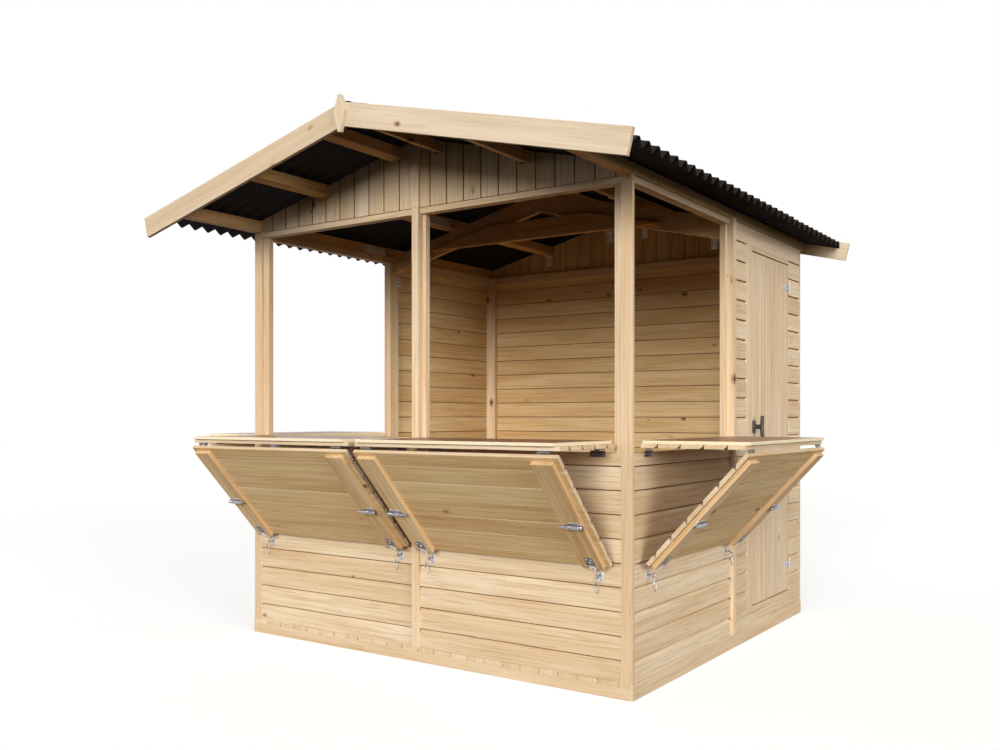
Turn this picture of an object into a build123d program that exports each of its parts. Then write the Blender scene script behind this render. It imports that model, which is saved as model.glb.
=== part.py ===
from build123d import *
import math
import os

# Wooden market stall: boarded cabin, open serving bays on three sides, gabled roof.
# Millimetres. X to the right seen from the front, Y to the back, Z up from the ground.
# The origin is the middle of the floor's footprint, on the ground.

# ---------------------------------------------------------------- driving sizes
WIDTH = 2050.0              # over the floor, left to right
DEPTH = 1975.0              # over the floor, front to back
BEARER_H = 45.0             # floor bearers, square section
BEARER_COUNT = 5
DECK_T = 18.0               # floor boards
FASCIA_T = 18.0             # plain board along each side of the floor

CLADDING_REVEAL = 2.0       # floor edge to the face of the cladding
STRIP_T = 15.0              # cover strips over the panel joints, on top of the cladding
MID_STRIP_W = 36.0
CORNER_BOARD_W = 48.0       # upright boards that end the front and back, flush with the cladding
CLADDING_T = 16.0
STUD_T = 28.0               # wall studs and rails, measured through the wall
CORNER_POST_W = 66.5
MID_STUD_W = 69.0           # two panel studs side by side
RAIL_H = 45.0
PANEL_SLIT = 2.0            # between neighbouring wall panels, under the cover strip
SIDE_JOINT_Y = -2.5         # joint between the side walls' front and back panels

SILL_Z = 913.0              # top of the low walls
OPENING_TOP_Z = 1914.0      # underside of the rails over the serving bays
WALL_TOP_Z = 1942.0         # top of the walls, where the eave purlins lie

ROOF_SLOPE = 0.2462         # fall of the roof for each unit of width
RIDGE_UNDER_Z = 2238.0      # underside of the roof sheets, carried to the ridge
PURLIN_W = 45.0
PURLIN_H = 48.0
RIDGE_PURLIN_X = 115.0
MID_PURLIN_X = 545.0
EAVE_PURLIN_X = 1001.0
FRONT_OVERHANG = 436.5      # floor edge to the front purlin ends
BACK_OVERHANG = 84.5
SHEET_EAVE_X = 1204.0
SHEET_RIDGE_GAP = 6.0
WAVE_COUNT = 33
WAVE_RISE = 30.0
WAVE_STEPS = 8              # straight facets in one wave
SHEET_T = 3.0
CAP_LEG = 110.0
CAP_T = 2.5
BARGE_H = 92.0
BARGE_T = 18.0
BARGE_RISE = 36.0           # top edge above the underside of the sheets
BARGE_REACH = 1255.0        # ridge to the end of the top edge
BARGE_SLIT = 1.0
FINIAL_W = 60.0
FINIAL_TIP = 12.0
FINIAL_TOP_Z = 2298.0
FINIAL_WIDE_Z = 2235.0
FINIAL_LOW_Z = 2152.0
FINIAL_T = 18.0

RAFTER_H = 98.0             # plumb depth
RAFTER_T = 28.0
TIE_LOW_Z = 1955.0
TIE_H = 95.0
TIE_REACH = 680.0

FLAP_END_GAP = 19.5         # between a front flap and the corner board
SIDE_FLAP_GAP = 38.0        # between a side flap and the corner board
FLAP_GAP = 1.5              # between a flap and the mid strip of its wall
FLAP_INSET = 16.0           # worktop, in from the flap's ends
BOARD_T = 16.0              # boards of the flaps and of the door
WORKTOP_T = 12.0
WORKTOP_OVERHANG = 14.0     # past the counter's outer edge
COUNTER_TOP_Z = 960.0
COUNTER_STANDOFF = 5.0      # cladding to the counter's inner edge
COUNTER_DEPTH = 402.5
SHUTTER_L = 563.0
SHUTTER_REST = 28.0         # cladding to the shutter's lower edge
BATTEN_W = 90.0
BATTEN_T = 18.0
BATTEN_INSET = 21.0         # in from the flap's ends
BATTEN_START = 17.0         # top of the shutter to the battens
CLEARANCE = 5.0             # between what moves and what it passes
PIN_R = 4.0                 # knuckles of the sill hinges
FOLD_PIN_R = 4.5            # knuckles of the folding hinges
FOLD_GAP = 5.0              # folding pin to the shutter's edge

DOOR_BACK_Y = 201.5         # floor's back edge to the door's hinged edge
DOOR_W = 527.0
DOOR_LOW_Z = 154.0
DOOR_TOP_Z = 1830.0
DOOR_RECESS = 2.0
DOOR_GAP = 6.0
LEDGE_T = 20.0
LEDGE_W = 90.0
LEDGE_INSET = 14.0
CASING_W = 68.0
HANDLE_Z = 1000.0

PLATE_T = 2.0               # pressed steel fittings

# ---------------------------------------------------------------- derived places
FLOOR_Z = BEARER_H + DECK_T
X_EDGE = WIDTH / 2
Y_EDGE = DEPTH / 2
X_FACE = X_EDGE - CLADDING_REVEAL   # outer face of the side cladding
Y_FACE = Y_EDGE - CLADDING_REVEAL   # outer face of the front and back cladding
X_STRIP = X_FACE + STRIP_T
Y_STRIP = Y_FACE + STRIP_T
X_CORNER = X_FACE - CORNER_BOARD_W
X_STUD = X_FACE - CLADDING_T
Y_STUD = Y_FACE - CLADDING_T
X_IN = X_STUD - STUD_T
Y_IN = Y_STUD - STUD_T
DOOR_START_Y = Y_EDGE - DOOR_BACK_Y - DOOR_W
POST_IN_X = X_STUD - CORNER_POST_W
ROOF_FRONT = -Y_EDGE - FRONT_OVERHANG
ROOF_BACK = Y_EDGE + BACK_OVERHANG
ALPHA = math.atan(ROOF_SLOPE)
COUNTER_UNDER_Z = COUNTER_TOP_Z - WORKTOP_T - BOARD_T
# Places of a flap are measured from its wall's cladding face, with -Y outwards.
SILL_PIN_Y = -COUNTER_STANDOFF
SILL_PIN_Z = COUNTER_UNDER_Z - PIN_R
COUNTER_IN_Y = -COUNTER_STANDOFF
COUNTER_OUT_Y = COUNTER_IN_Y - COUNTER_DEPTH
FOLD_PIN_Y = COUNTER_OUT_Y - 1.0
FOLD_PIN_Z = COUNTER_UNDER_Z - FOLD_PIN_R - 0.5
FOLD_DROP = COUNTER_UNDER_Z - FOLD_PIN_Z
# The shutter leans back to its hasps, with its lower edge off the wall.
SHUTTER_REACH = FOLD_GAP + SHUTTER_L
LEAN = (math.acos((-FOLD_PIN_Y - SHUTTER_REST) / math.hypot(SHUTTER_REACH, FOLD_DROP))
        - math.atan(FOLD_DROP / SHUTTER_REACH))
FOLD_DEG = 180.0 - math.degrees(LEAN)
FRONT_FLAP_X = MID_STRIP_W / 2 + FLAP_GAP
FLAP_W = X_CORNER - FLAP_END_GAP - FRONT_FLAP_X
SIDE_FLAP_Y = SIDE_JOINT_Y - MID_STRIP_W / 2 - FLAP_GAP
SIDE_FLAP_W = SIDE_FLAP_Y + Y_STUD - SIDE_FLAP_GAP


def roof_under(x):
    """Height of the underside of the roof sheets."""
    return RIDGE_UNDER_Z - ROOF_SLOPE * abs(x)


def block(x0, x1, y0, y1, z0, z1):
    """Box between two corners."""
    size = Box(abs(x1 - x0), abs(y1 - y0), abs(z1 - z0))
    return Pos((x0 + x1) / 2, (y0 + y1) / 2, (z0 + z1) / 2) * size


def slab_y(points, y0, y1):
    """Outline of (x, z) points, made solid from y0 to y1."""
    face = make_face(Polyline(*[(x, y0, z) for x, z in points], close=True))
    return extrude(face, amount=y1 - y0, dir=(0, 1, 0))


def rod(start, end, radius):
    """Round bar between two points."""
    a, b = Vector(*start), Vector(*end)
    plane = Plane(origin=a, z_dir=b - a)
    return extrude(plane * Circle(radius), amount=(b - a).length)


def flipped(shape):
    """The same piece on the left-hand side."""
    return mirror(shape, about=Plane.YZ)


def both(shape):
    return [shape, flipped(shape)]


def save(name, shapes):
    """Write one node, of one solid or of several that don't touch."""
    items = shapes if isinstance(shapes, list) else [shapes]
    solids = [s for item in items for s in item.solids()]
    body = solids[0] if len(solids) == 1 else Compound(children=solids)
    export_step(body, f"parts/{name}.step")


# ---------------------------------------------------------------- floor
def floor():
    deck_x = X_EDGE - FASCIA_T
    step = (DEPTH - BEARER_H) / (BEARER_COUNT - 1)
    bearers = []
    for i in range(BEARER_COUNT):
        y = -Y_EDGE + i * step
        bearers.append(block(-deck_x, deck_x, y, y + BEARER_H, 0, BEARER_H))
    save("floor_bearers", bearers)
    save("floor_deck", block(-deck_x, deck_x, -Y_EDGE, Y_EDGE, BEARER_H, FLOOR_Z))
    save("floor_fascias", both(block(deck_x, X_EDGE, -Y_EDGE, Y_EDGE, 0, FLOOR_Z)))


# ---------------------------------------------------------------- walls
def low_walls():
    half = PANEL_SLIT / 2
    front = block(half, X_CORNER, -Y_FACE, -Y_STUD, FLOOR_Z, SILL_Z)
    save("front_wall", both(front))
    side = block(X_STUD, X_FACE, -Y_STUD, SIDE_JOINT_Y - half, FLOOR_Z, SILL_Z)
    save("side_low_walls", both(side))


def back_walls():
    half = PANEL_SLIT / 2
    back = block(half, X_CORNER, Y_STUD, Y_FACE, FLOOR_Z, WALL_TOP_Z)
    save("back_wall", both(back))
    left = block(-X_FACE, -X_STUD, SIDE_JOINT_Y + half, Y_STUD, FLOOR_Z, WALL_TOP_Z)
    save("left_wall_back", left)


def door_wall():
    start = SIDE_JOINT_Y + PANEL_SLIT / 2
    open_0 = DOOR_START_Y - DOOR_GAP
    open_1 = DOOR_START_Y + DOOR_W + CLEARANCE
    low = DOOR_LOW_Z - CLEARANCE
    top = DOOR_TOP_Z + CLEARANCE
    near = block(X_STUD, X_FACE, start, open_0 - CASING_W, low, top)
    far = block(X_STUD, X_FACE, open_1, Y_STUD, low, top)
    save("door_wall_sides", [near, far])
    header = block(X_STUD, X_FACE, start, Y_STUD, top, WALL_TOP_Z)
    threshold = block(X_STUD, X_FACE, start, Y_STUD, FLOOR_Z, low)
    save("door_wall_over_under", [header, threshold])


def purlin_section(x, grow=0.0):
    """Section of a purlin centred at x; the eave ones have a flat underside."""
    x0, x1 = x - PURLIN_W / 2 - grow, x + PURLIN_W / 2 + grow
    flat = x + PURLIN_W > X_IN
    low = [WALL_TOP_Z - grow] * 2 if flat else [roof_under(v) - PURLIN_H - grow for v in (x0, x1)]
    return [(x0, low[0]), (x1, low[1]), (x1, roof_under(x1)), (x0, roof_under(x0))]


def gable(y0, y1, low_z):
    """Boarded gable over a wall, notched round the purlins."""
    top = 1.0
    points = [(-X_STUD, low_z), (X_STUD, low_z), (X_STUD, roof_under(X_STUD) - top),
              (0, roof_under(0) - top), (-X_STUD, roof_under(X_STUD) - top)]
    panel = slab_y(points, y0, y1)
    for x in (RIDGE_PURLIN_X, MID_PURLIN_X, EAVE_PURLIN_X):
        points = purlin_section(x, 0.3)
        points[2] = (points[2][0], roof_under(0) + PURLIN_H)
        points[3] = (points[3][0], roof_under(0) + PURLIN_H)
        cutter = slab_y(points, y0 - 1, y1 + 1)
        panel = panel - cutter - flipped(cutter)
    return panel


def gables():
    save("front_gable", gable(-Y_FACE, -Y_STUD, WALL_TOP_Z))
    save("back_gable", gable(Y_STUD, Y_FACE, WALL_TOP_Z))


# ---------------------------------------------------------------- frame in the walls
def studs():
    half = MID_STUD_W / 2
    pieces = []
    for y in (-Y_STUD, Y_IN):
        pieces += both(block(POST_IN_X, X_STUD, y, y + STUD_T, FLOOR_Z, WALL_TOP_Z))
        pieces.append(block(-half, half, y, y + STUD_T, FLOOR_Z, WALL_TOP_Z))
    side = block(X_IN, X_STUD, SIDE_JOINT_Y - half, SIDE_JOINT_Y + half, FLOOR_Z, WALL_TOP_Z)
    pieces += both(side)
    for y in (DOOR_START_Y - DOOR_GAP - STUD_T, DOOR_START_Y + DOOR_W + CLEARANCE):
        pieces.append(block(X_IN, X_STUD, y, y + STUD_T, FLOOR_Z, WALL_TOP_Z))
    save("wall_studs", pieces)


def rails():
    half = MID_STUD_W / 2
    side_end = SIDE_JOINT_Y - half
    pieces = []
    for low, high in ((OPENING_TOP_Z, WALL_TOP_Z), (SILL_Z - RAIL_H, SILL_Z)):
        pieces += both(block(half, POST_IN_X, -Y_STUD, -Y_IN, low, high))
        pieces += both(block(X_IN, X_STUD, -Y_IN, side_end, low, high))
    low = WALL_TOP_Z - RAIL_H
    pieces += both(block(half, POST_IN_X, Y_IN, Y_STUD, low, WALL_TOP_Z))
    pieces.append(block(-X_STUD, -X_IN, SIDE_JOINT_Y + half, Y_IN, low, WALL_TOP_Z))
    save("wall_rails", pieces)


def strips():
    """Cover strips on the joints, and what fills the cladding's layer round the bays."""
    half = MID_STRIP_W / 2
    gable_top = roof_under(half) - 1.0
    pieces = []
    for y in (-Y_STRIP, Y_FACE):
        pieces.append(block(-half, half, y, y + STRIP_T, FLOOR_Z, WALL_TOP_Z))
        pieces.append(block(-half, half, y, y + STRIP_T, WALL_TOP_Z + 0.5, gable_top))
    y0, y1 = SIDE_JOINT_Y - half, SIDE_JOINT_Y + half
    pieces += both(block(X_FACE, X_STRIP, y0, y1, FLOOR_Z, WALL_TOP_Z))
    save("cover_strips", pieces)
    corners = []
    for y in (-Y_FACE, Y_STUD):
        corners += both(block(X_CORNER, X_FACE, y, y + CLADDING_T, FLOOR_Z, WALL_TOP_Z))
    save("corner_boards", corners)
    packers = [block(-half, half, -Y_FACE, -Y_STUD, SILL_Z, WALL_TOP_Z)]
    packers += both(block(X_STUD, X_FACE, y0, SIDE_JOINT_Y, SILL_Z, WALL_TOP_Z))
    save("bay_packers", packers)
    low, high = OPENING_TOP_Z, WALL_TOP_Z
    trims = both(block(half, X_CORNER, -Y_FACE, -Y_STUD, low, high))
    trims += both(block(X_STUD, X_FACE, -Y_STUD, y0, low, high))
    save("bay_trims", trims)
    edge = DOOR_START_Y - DOOR_GAP
    save("door_casing", block(X_STUD, X_FACE, edge - CASING_W, edge,
                              DOOR_LOW_Z - CLEARANCE, DOOR_TOP_Z + CLEARANCE))


# ---------------------------------------------------------------- roof
def roof_frame():
    right = [slab_y(purlin_section(x), ROOF_FRONT, ROOF_BACK)
             for x in (RIDGE_PURLIN_X, MID_PURLIN_X, EAVE_PURLIN_X)]
    save("purlins", right + [flipped(p) for p in right])
    top_0 = roof_under(0) - PURLIN_H
    end = EAVE_PURLIN_X - PURLIN_W / 2
    top_1 = roof_under(end) - PURLIN_H
    points = [(0, top_0), (end, top_1), (end, top_1 - RAFTER_H), (0, top_0 - RAFTER_H)]
    y0 = SIDE_JOINT_Y - RAFTER_T / 2
    rafter = slab_y(points, y0, y0 + RAFTER_T)
    save("rafter_right", rafter)
    save("rafter_left", flipped(rafter))
    shoulder = TIE_REACH - TIE_H / ROOF_SLOPE
    points = [(-TIE_REACH, TIE_LOW_Z), (TIE_REACH, TIE_LOW_Z),
              (shoulder, TIE_LOW_Z + TIE_H), (-shoulder, TIE_LOW_Z + TIE_H)]
    save("tie_beam", slab_y(points, y0 - RAFTER_T, y0))


def roof_sheets():
    length = (SHEET_EAVE_X - SHEET_RIDGE_GAP) / math.cos(ALPHA)
    fall = Vector(math.cos(ALPHA), 0, -math.sin(ALPHA))
    origin = (SHEET_RIDGE_GAP, 0, roof_under(SHEET_RIDGE_GAP))
    plane = Plane(origin=origin, x_dir=(0, 1, 0), z_dir=fall)
    count = WAVE_COUNT * WAVE_STEPS
    under = []
    for i in range(count + 1):
        y = ROOF_FRONT + (ROOF_BACK - ROOF_FRONT) * i / count
        rise = WAVE_RISE / 2 * (1 - math.cos(2 * math.pi * i / WAVE_STEPS))
        under.append((y, rise))
    over = [(y, rise + SHEET_T) for y, rise in reversed(under)]
    sheet = extrude(plane * make_face(Polyline(*under, *over, close=True)), amount=length, dir=fall)
    save("roof_sheet_right", sheet)
    save("roof_sheet_left", flipped(sheet))
    lift = (WAVE_RISE + SHEET_T) / math.cos(ALPHA) + 0.3
    under = [(x, roof_under(x) + lift) for x in (-CAP_LEG, 0, CAP_LEG)]
    over = [(x, z + CAP_T) for x, z in reversed(under)]
    save("ridge_cap", slab_y(under + over, ROOF_FRONT + 1, ROOF_BACK - 1))


def barges():
    top = RIDGE_UNDER_Z + BARGE_RISE
    across, down = math.sin(ALPHA) * BARGE_H, math.cos(ALPHA) * BARGE_H
    x0, x1 = BARGE_SLIT / 2, BARGE_REACH
    points = [(x0, top - ROOF_SLOPE * x0), (x1, top - ROOF_SLOPE * x1),
              (x1 - across, top - ROOF_SLOPE * x1 - down),
              (x0, top - ROOF_SLOPE * x0 - BARGE_H / math.cos(ALPHA))]
    front = slab_y(points, ROOF_FRONT - BARGE_T, ROOF_FRONT)
    back = slab_y(points, ROOF_BACK, ROOF_BACK + BARGE_T)
    save("bargeboards", both(front) + both(back))
    half, tip = FINIAL_W / 2, FINIAL_TIP / 2
    points = [(-tip, FINIAL_TOP_Z), (tip, FINIAL_TOP_Z), (half, FINIAL_WIDE_Z),
              (tip, FINIAL_LOW_Z), (-tip, FINIAL_LOW_Z), (-half, FINIAL_WIDE_Z)]
    y0, y1 = ROOF_FRONT - BARGE_T - FINIAL_T, ROOF_BACK + BARGE_T
    save("finials", [slab_y(points, y, y + FINIAL_T) for y in (y0, y1)])


# ---------------------------------------------------------------- serving flaps
KEEPER_W = 24.0
KEEPER_H = 40.0
KEEPER_DROP = 60.0          # shutter's lower edge to the middle of the keeper
STAPLE_REACH = 31.0
STAPLE_H = 16.0
STAPLE_R = 2.0
HOOK_L = 62.0
HOOK_W = 30.0
HOOK_R = 2.0
HOOK_RISE = 2.0             # top of the hook above the middle of the keeper
SHUTTER_LOW_Z = FOLD_PIN_Z - SHUTTER_REACH * math.sin(LEAN)
KEEPER_Z = SHUTTER_LOW_Z - KEEPER_DROP
HINGE_W = 66.0
HINGE_INSET = 44.0
HINGE_DROP = 31.0
HINGE_FOOT = 7.0            # sill pin down to the top of the leaf on the wall
HINGE_PLAY = 0.3            # along the pin, between the knuckles
SILL_BARREL_R = PIN_R - 0.5
FOLD_HINGE_W = 52.0
FOLD_HINGE_INSET = 36.0
FOLD_LEAF = 25.0
FOLD_PLATE_T = 1.5
BOLT_START = 320.0          # top of the shutter to the bolts
BOLT_PAST = 5.0             # past the batten's outer edge
BOLT_BARREL = 66.0
BOLT_R = 8.5
BOLT_TIP = 34.0
BOLT_TIP_R = 3.5
BOLT_PLATE_W = 26.0
HASP_W = 36.0
HASP_LEAF_W = 26.0
HASP_LEAF = 24.0            # from the shutter's lower edge up to the hasp's pin
HASP_PLATE = 40.0
HASP_PAST = 10.0            # how far the leaf passes the shutter's lower edge
HASP_PIN_R = 3.0


def pair(width, inset, size):
    """Starts of two like pieces, in from the ends of a flap."""
    return inset, width - inset - size


def batten_xs(width):
    return pair(width, BATTEN_INSET, BATTEN_W)


def hinge_xs(width):
    return pair(width, HINGE_INSET, HINGE_W)


def fold_xs(width):
    return pair(width, FOLD_HINGE_INSET, FOLD_HINGE_W)


def counter(width):
    boards = block(0, width, COUNTER_OUT_Y, COUNTER_IN_Y,
                   COUNTER_UNDER_Z, COUNTER_UNDER_Z + BOARD_T)
    top = block(FLAP_INSET, width - FLAP_INSET, COUNTER_OUT_Y - WORKTOP_OVERHANG, COUNTER_IN_Y,
                COUNTER_UNDER_Z + BOARD_T, COUNTER_TOP_Z)
    return boards, top


def folded(shape):
    """Turn a shutter piece, drawn level with the counter, to where it leans at rest."""
    pin = Axis((0, FOLD_PIN_Y, FOLD_PIN_Z), (1, 0, 0))
    return shape.rotate(pin, FOLD_DEG)


def shutter(width):
    start = FOLD_PIN_Y - FOLD_GAP
    face = COUNTER_UNDER_Z + BOARD_T
    boards = block(0, width, start - SHUTTER_L, start, COUNTER_UNDER_Z, face)
    battens = [block(x, x + BATTEN_W, start - SHUTTER_L, start - BATTEN_START, face, face + BATTEN_T)
               for x in batten_xs(width)]
    return folded(boards), [folded(b) for b in battens]


def barrel_bolt(outer, inward, y, z):
    """Bolt across a batten, from its outer edge, with the tip pointing inward."""
    x0, x1 = outer, outer + inward * BOLT_BARREL
    axis_z = z + PLATE_T + BOLT_R - 0.5
    plate = block(x0 + inward * 4, x1 - inward * 4, y - BOLT_PLATE_W / 2, y + BOLT_PLATE_W / 2,
                  z, z + PLATE_T)
    barrel = rod((x0, y, axis_z), (x1, y, axis_z), BOLT_R)
    tip = rod((x1, y, axis_z), (x1 + inward * BOLT_TIP, y, axis_z), BOLT_TIP_R)
    return plate + barrel + tip


def hasp(middle, end, z):
    """Plate, pin and leaf on the face of a batten, at its lower end."""
    x0, x1 = middle - HASP_W / 2, middle + HASP_W / 2
    pin_y = end + HASP_LEAF
    half = HASP_LEAF_W / 2
    leaf = block(middle - half, middle + half, end - HASP_PAST, pin_y, z, z + PLATE_T)
    plate = block(x0, x1, pin_y, pin_y + HASP_PLATE, z, z + PLATE_T)
    pin = rod((x0, pin_y, z + HASP_PIN_R), (x1, pin_y, z + HASP_PIN_R), HASP_PIN_R)
    return leaf + plate + pin


def shutter_fittings(width):
    """A barrel bolt across each batten, a hasp at its lower end, and the folding hinges."""
    start = FOLD_PIN_Y - FOLD_GAP
    face = COUNTER_UNDER_Z + BOARD_T + BATTEN_T
    bolt_y = start - BOLT_START
    left, right = BATTEN_INSET - BOLT_PAST, width - BATTEN_INSET + BOLT_PAST
    pieces = [barrel_bolt(left, 1, bolt_y, face), barrel_bolt(right, -1, bolt_y, face)]
    pieces += [hasp(x + BATTEN_W / 2, start - SHUTTER_L, face) for x in batten_xs(width)]
    pieces += [fold_hinge(x, False) for x in fold_xs(width)]
    return [folded(piece) for piece in pieces]


def knuckles(x, y, z, width, radius, middle):
    """Barrel of a hinge about a pin along X: its middle third, or the thirds beside it."""
    third = width / 3
    if middle:
        return rod((x + third, y, z), (x + 2 * third, y, z), radius)
    ends = [(x, x + third - HINGE_PLAY), (x + 2 * third + HINGE_PLAY, x + width)]
    return [rod((a, y, z), (b, y, z), radius) for a, b in ends]


def sill_hinge_fixed(x):
    """Half of a sill hinge that is screwed to the wall."""
    third = HINGE_W / 3
    x0, x1 = x + third, x + 2 * third
    foot = SILL_PIN_Z - HINGE_FOOT
    outer = SILL_PIN_Y - PLATE_T / 2
    plate = block(x, x + HINGE_W, -PLATE_T, 0, SILL_PIN_Z - HINGE_DROP, foot)
    web = block(x0, x1, outer, 0, foot - PLATE_T, foot)
    link = block(x0, x1, outer, outer + PLATE_T, foot - PLATE_T, SILL_PIN_Z)
    return knuckles(x, SILL_PIN_Y, SILL_PIN_Z, HINGE_W, SILL_BARREL_R, True) + link + web + plate


def sill_hinge_moving(x):
    """Half of a sill hinge that is screwed under the counter."""
    plate = block(x, x + HINGE_W, SILL_PIN_Y - HINGE_DROP, SILL_PIN_Y - PIN_R,
                  COUNTER_UNDER_Z - PLATE_T, COUNTER_UNDER_Z)
    for end in knuckles(x, SILL_PIN_Y, SILL_PIN_Z, HINGE_W, SILL_BARREL_R, False):
        box = end.bounding_box()
        tab = block(box.min.X, box.max.X, SILL_PIN_Y - PIN_R, SILL_PIN_Y,
                    COUNTER_UNDER_Z - PLATE_T, COUNTER_UNDER_Z)
        plate = plate + end + tab
    return plate


def fold_hinge(x, middle):
    """Half of a folding hinge, on the counter (middle knuckle) or level on the shutter."""
    side = 1 if middle else -1
    top = COUNTER_UNDER_Z
    low = top - FOLD_PLATE_T
    plate = block(x, x + FOLD_HINGE_W, FOLD_PIN_Y + side * (FOLD_PIN_R + 0.5),
                  FOLD_PIN_Y + side * FOLD_LEAF, low, top)
    barrels = knuckles(x, FOLD_PIN_Y, FOLD_PIN_Z, FOLD_HINGE_W, FOLD_PIN_R, middle)
    for barrel in [barrels] if middle else barrels:
        box = barrel.bounding_box()
        tab = block(box.min.X, box.max.X, FOLD_PIN_Y, FOLD_PIN_Y + side * (FOLD_PIN_R + 1), low, top)
        plate = plate + barrel + tab
    return plate


def wall_fittings(width):
    """Fixed halves of the sill hinges, and a keeper with its staple under each batten."""
    pieces = [sill_hinge_fixed(x) for x in hinge_xs(width)]
    for x in batten_xs(width):
        middle = x + BATTEN_W / 2
        plate = block(middle - KEEPER_W / 2, middle + KEEPER_W / 2, -PLATE_T, 0,
                      KEEPER_Z - KEEPER_H / 2, KEEPER_Z + KEEPER_H / 2)
        staple = block(middle - STAPLE_R, middle + STAPLE_R, -STAPLE_REACH, 0,
                       KEEPER_Z - STAPLE_H / 2, KEEPER_Z + STAPLE_H / 2)
        pieces.append(plate + staple)
    return pieces


def snap_hooks(width):
    """Long link that hangs at each keeper's staple."""
    half, r = HOOK_W / 2 - HOOK_R, HOOK_R
    y = -STAPLE_REACH - r - HINGE_PLAY
    high = KEEPER_Z + HOOK_RISE
    low = high - HOOK_L
    hooks = []
    for x in batten_xs(width):
        middle = x + BATTEN_W / 2
        corners = [(middle - half, y, low), (middle - half, y, high),
                   (middle + half, y, high), (middle + half, y, low)]
        sides = [rod(corners[i - 1], corners[i], r) for i in range(4)]
        hooks.append(sides[0] + sides[1] + sides[2] + sides[3])
    return hooks


PLACES = {
    "front_right": (FLAP_W, Location((FRONT_FLAP_X, -Y_FACE, 0))),
    "front_left": (FLAP_W, Location((-FRONT_FLAP_X - FLAP_W, -Y_FACE, 0))),
    "right_side": (SIDE_FLAP_W, Location((X_FACE, SIDE_FLAP_Y - SIDE_FLAP_W, 0), (0, 0, 90))),
    "left_side": (SIDE_FLAP_W, Location((-X_FACE, SIDE_FLAP_Y, 0), (0, 0, -90))),
}


def flaps():
    hinges, hooks = [], []
    for name, (width, place) in PLACES.items():
        boards, top = counter(width)
        leaf, battens = shutter(width)
        save(f"counter_{name}", place * boards)
        save(f"worktop_{name}", place * top)
        save(f"shutter_{name}", place * leaf)
        save(f"battens_{name}", [place * b for b in battens])
        save(f"bolts_{name}", [place * f for f in shutter_fittings(width)])
        moving = [sill_hinge_moving(x) for x in hinge_xs(width)]
        moving += [fold_hinge(x, True) for x in fold_xs(width)]
        save(f"hinges_{name}", [place * f for f in moving])
        hinges += [place * f for f in wall_fittings(width)]
        hooks += [place * h for h in snap_hooks(width)]
    save("wall_fittings", hinges + door_hinges_fixed())
    save("snap_hooks", hooks)


# ---------------------------------------------------------------- door
DOOR_PIN_X = X_FACE + PIN_R
DOOR_PIN_Y = DOOR_START_Y + DOOR_W + CLEARANCE / 2
DOOR_FACE_X = X_FACE - DOOR_RECESS
DOOR_HINGE_ZS = (286.0, 1712.0)
HINGE_PLATE_W = 16.0
HINGE_PLATE_H = 60.0
HINGE_STRAP_L = 92.0
HINGE_STRAP_H = 20.0


def door_hinges_fixed():
    """Halves of the door's T hinges that are screwed to the wall."""
    pieces = []
    for z in DOOR_HINGE_ZS:
        low, high = z - HINGE_PLATE_H / 2, z + HINGE_PLATE_H / 2
        half = block(X_FACE, X_FACE + PLATE_T, DOOR_PIN_Y + CLEARANCE, DOOR_PIN_Y + HINGE_PLATE_W, low, high)
        inner = HINGE_STRAP_H / 2 + HINGE_PLAY
        for z0, z1 in ((low, z - inner), (z + inner, high)):
            web = block(X_FACE, DOOR_PIN_X, DOOR_PIN_Y + CLEARANCE - PLATE_T, DOOR_PIN_Y + CLEARANCE, z0, z1)
            link = block(DOOR_PIN_X - PLATE_T, DOOR_PIN_X, DOOR_PIN_Y, DOOR_PIN_Y + CLEARANCE, z0, z1)
            pin = rod((DOOR_PIN_X, DOOR_PIN_Y, z0), (DOOR_PIN_X, DOOR_PIN_Y, z1), SILL_BARREL_R)
            half = half + web + link + pin
        pieces.append(half)
    return pieces


def door():
    y0, y1 = DOOR_START_Y, DOOR_START_Y + DOOR_W
    inner = DOOR_FACE_X - BOARD_T
    save("door_leaf", block(inner, DOOR_FACE_X, y0, y1, DOOR_LOW_Z, DOOR_TOP_Z))
    gap = LEDGE_INSET
    save("door_ledges", [block(inner - LEDGE_T, inner, y0 + gap, y1 - gap, z - LEDGE_W / 2, z + LEDGE_W / 2)
                         for z in (DOOR_HINGE_ZS[0], HANDLE_Z, DOOR_HINGE_ZS[1])])
    straps = []
    for z in DOOR_HINGE_ZS:
        low, high = z - HINGE_STRAP_H / 2, z + HINGE_STRAP_H / 2
        strap = block(DOOR_FACE_X, X_FACE + 0.5, DOOR_PIN_Y - HINGE_STRAP_L, y1, low, high)
        tab = block(DOOR_FACE_X, DOOR_PIN_X, y1 - PLATE_T, y1, low, high)
        link = block(DOOR_PIN_X - PLATE_T, DOOR_PIN_X, y1 - PLATE_T, DOOR_PIN_Y, low, high)
        pin = rod((DOOR_PIN_X, DOOR_PIN_Y, low), (DOOR_PIN_X, DOOR_PIN_Y, high), SILL_BARREL_R)
        straps.append(strap + tab + link + pin)
    save("door_hinge_straps", straps)


HANDLE_Y = DOOR_START_Y + 18.0
HANDLE_PLATE = (26.0, 76.0)
SPINDLE_R = 7.0
SPINDLE_L = 38.0
GRIP_H = 104.0
GRIP_W = 22.0
GRIP_T = 14.0


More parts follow.
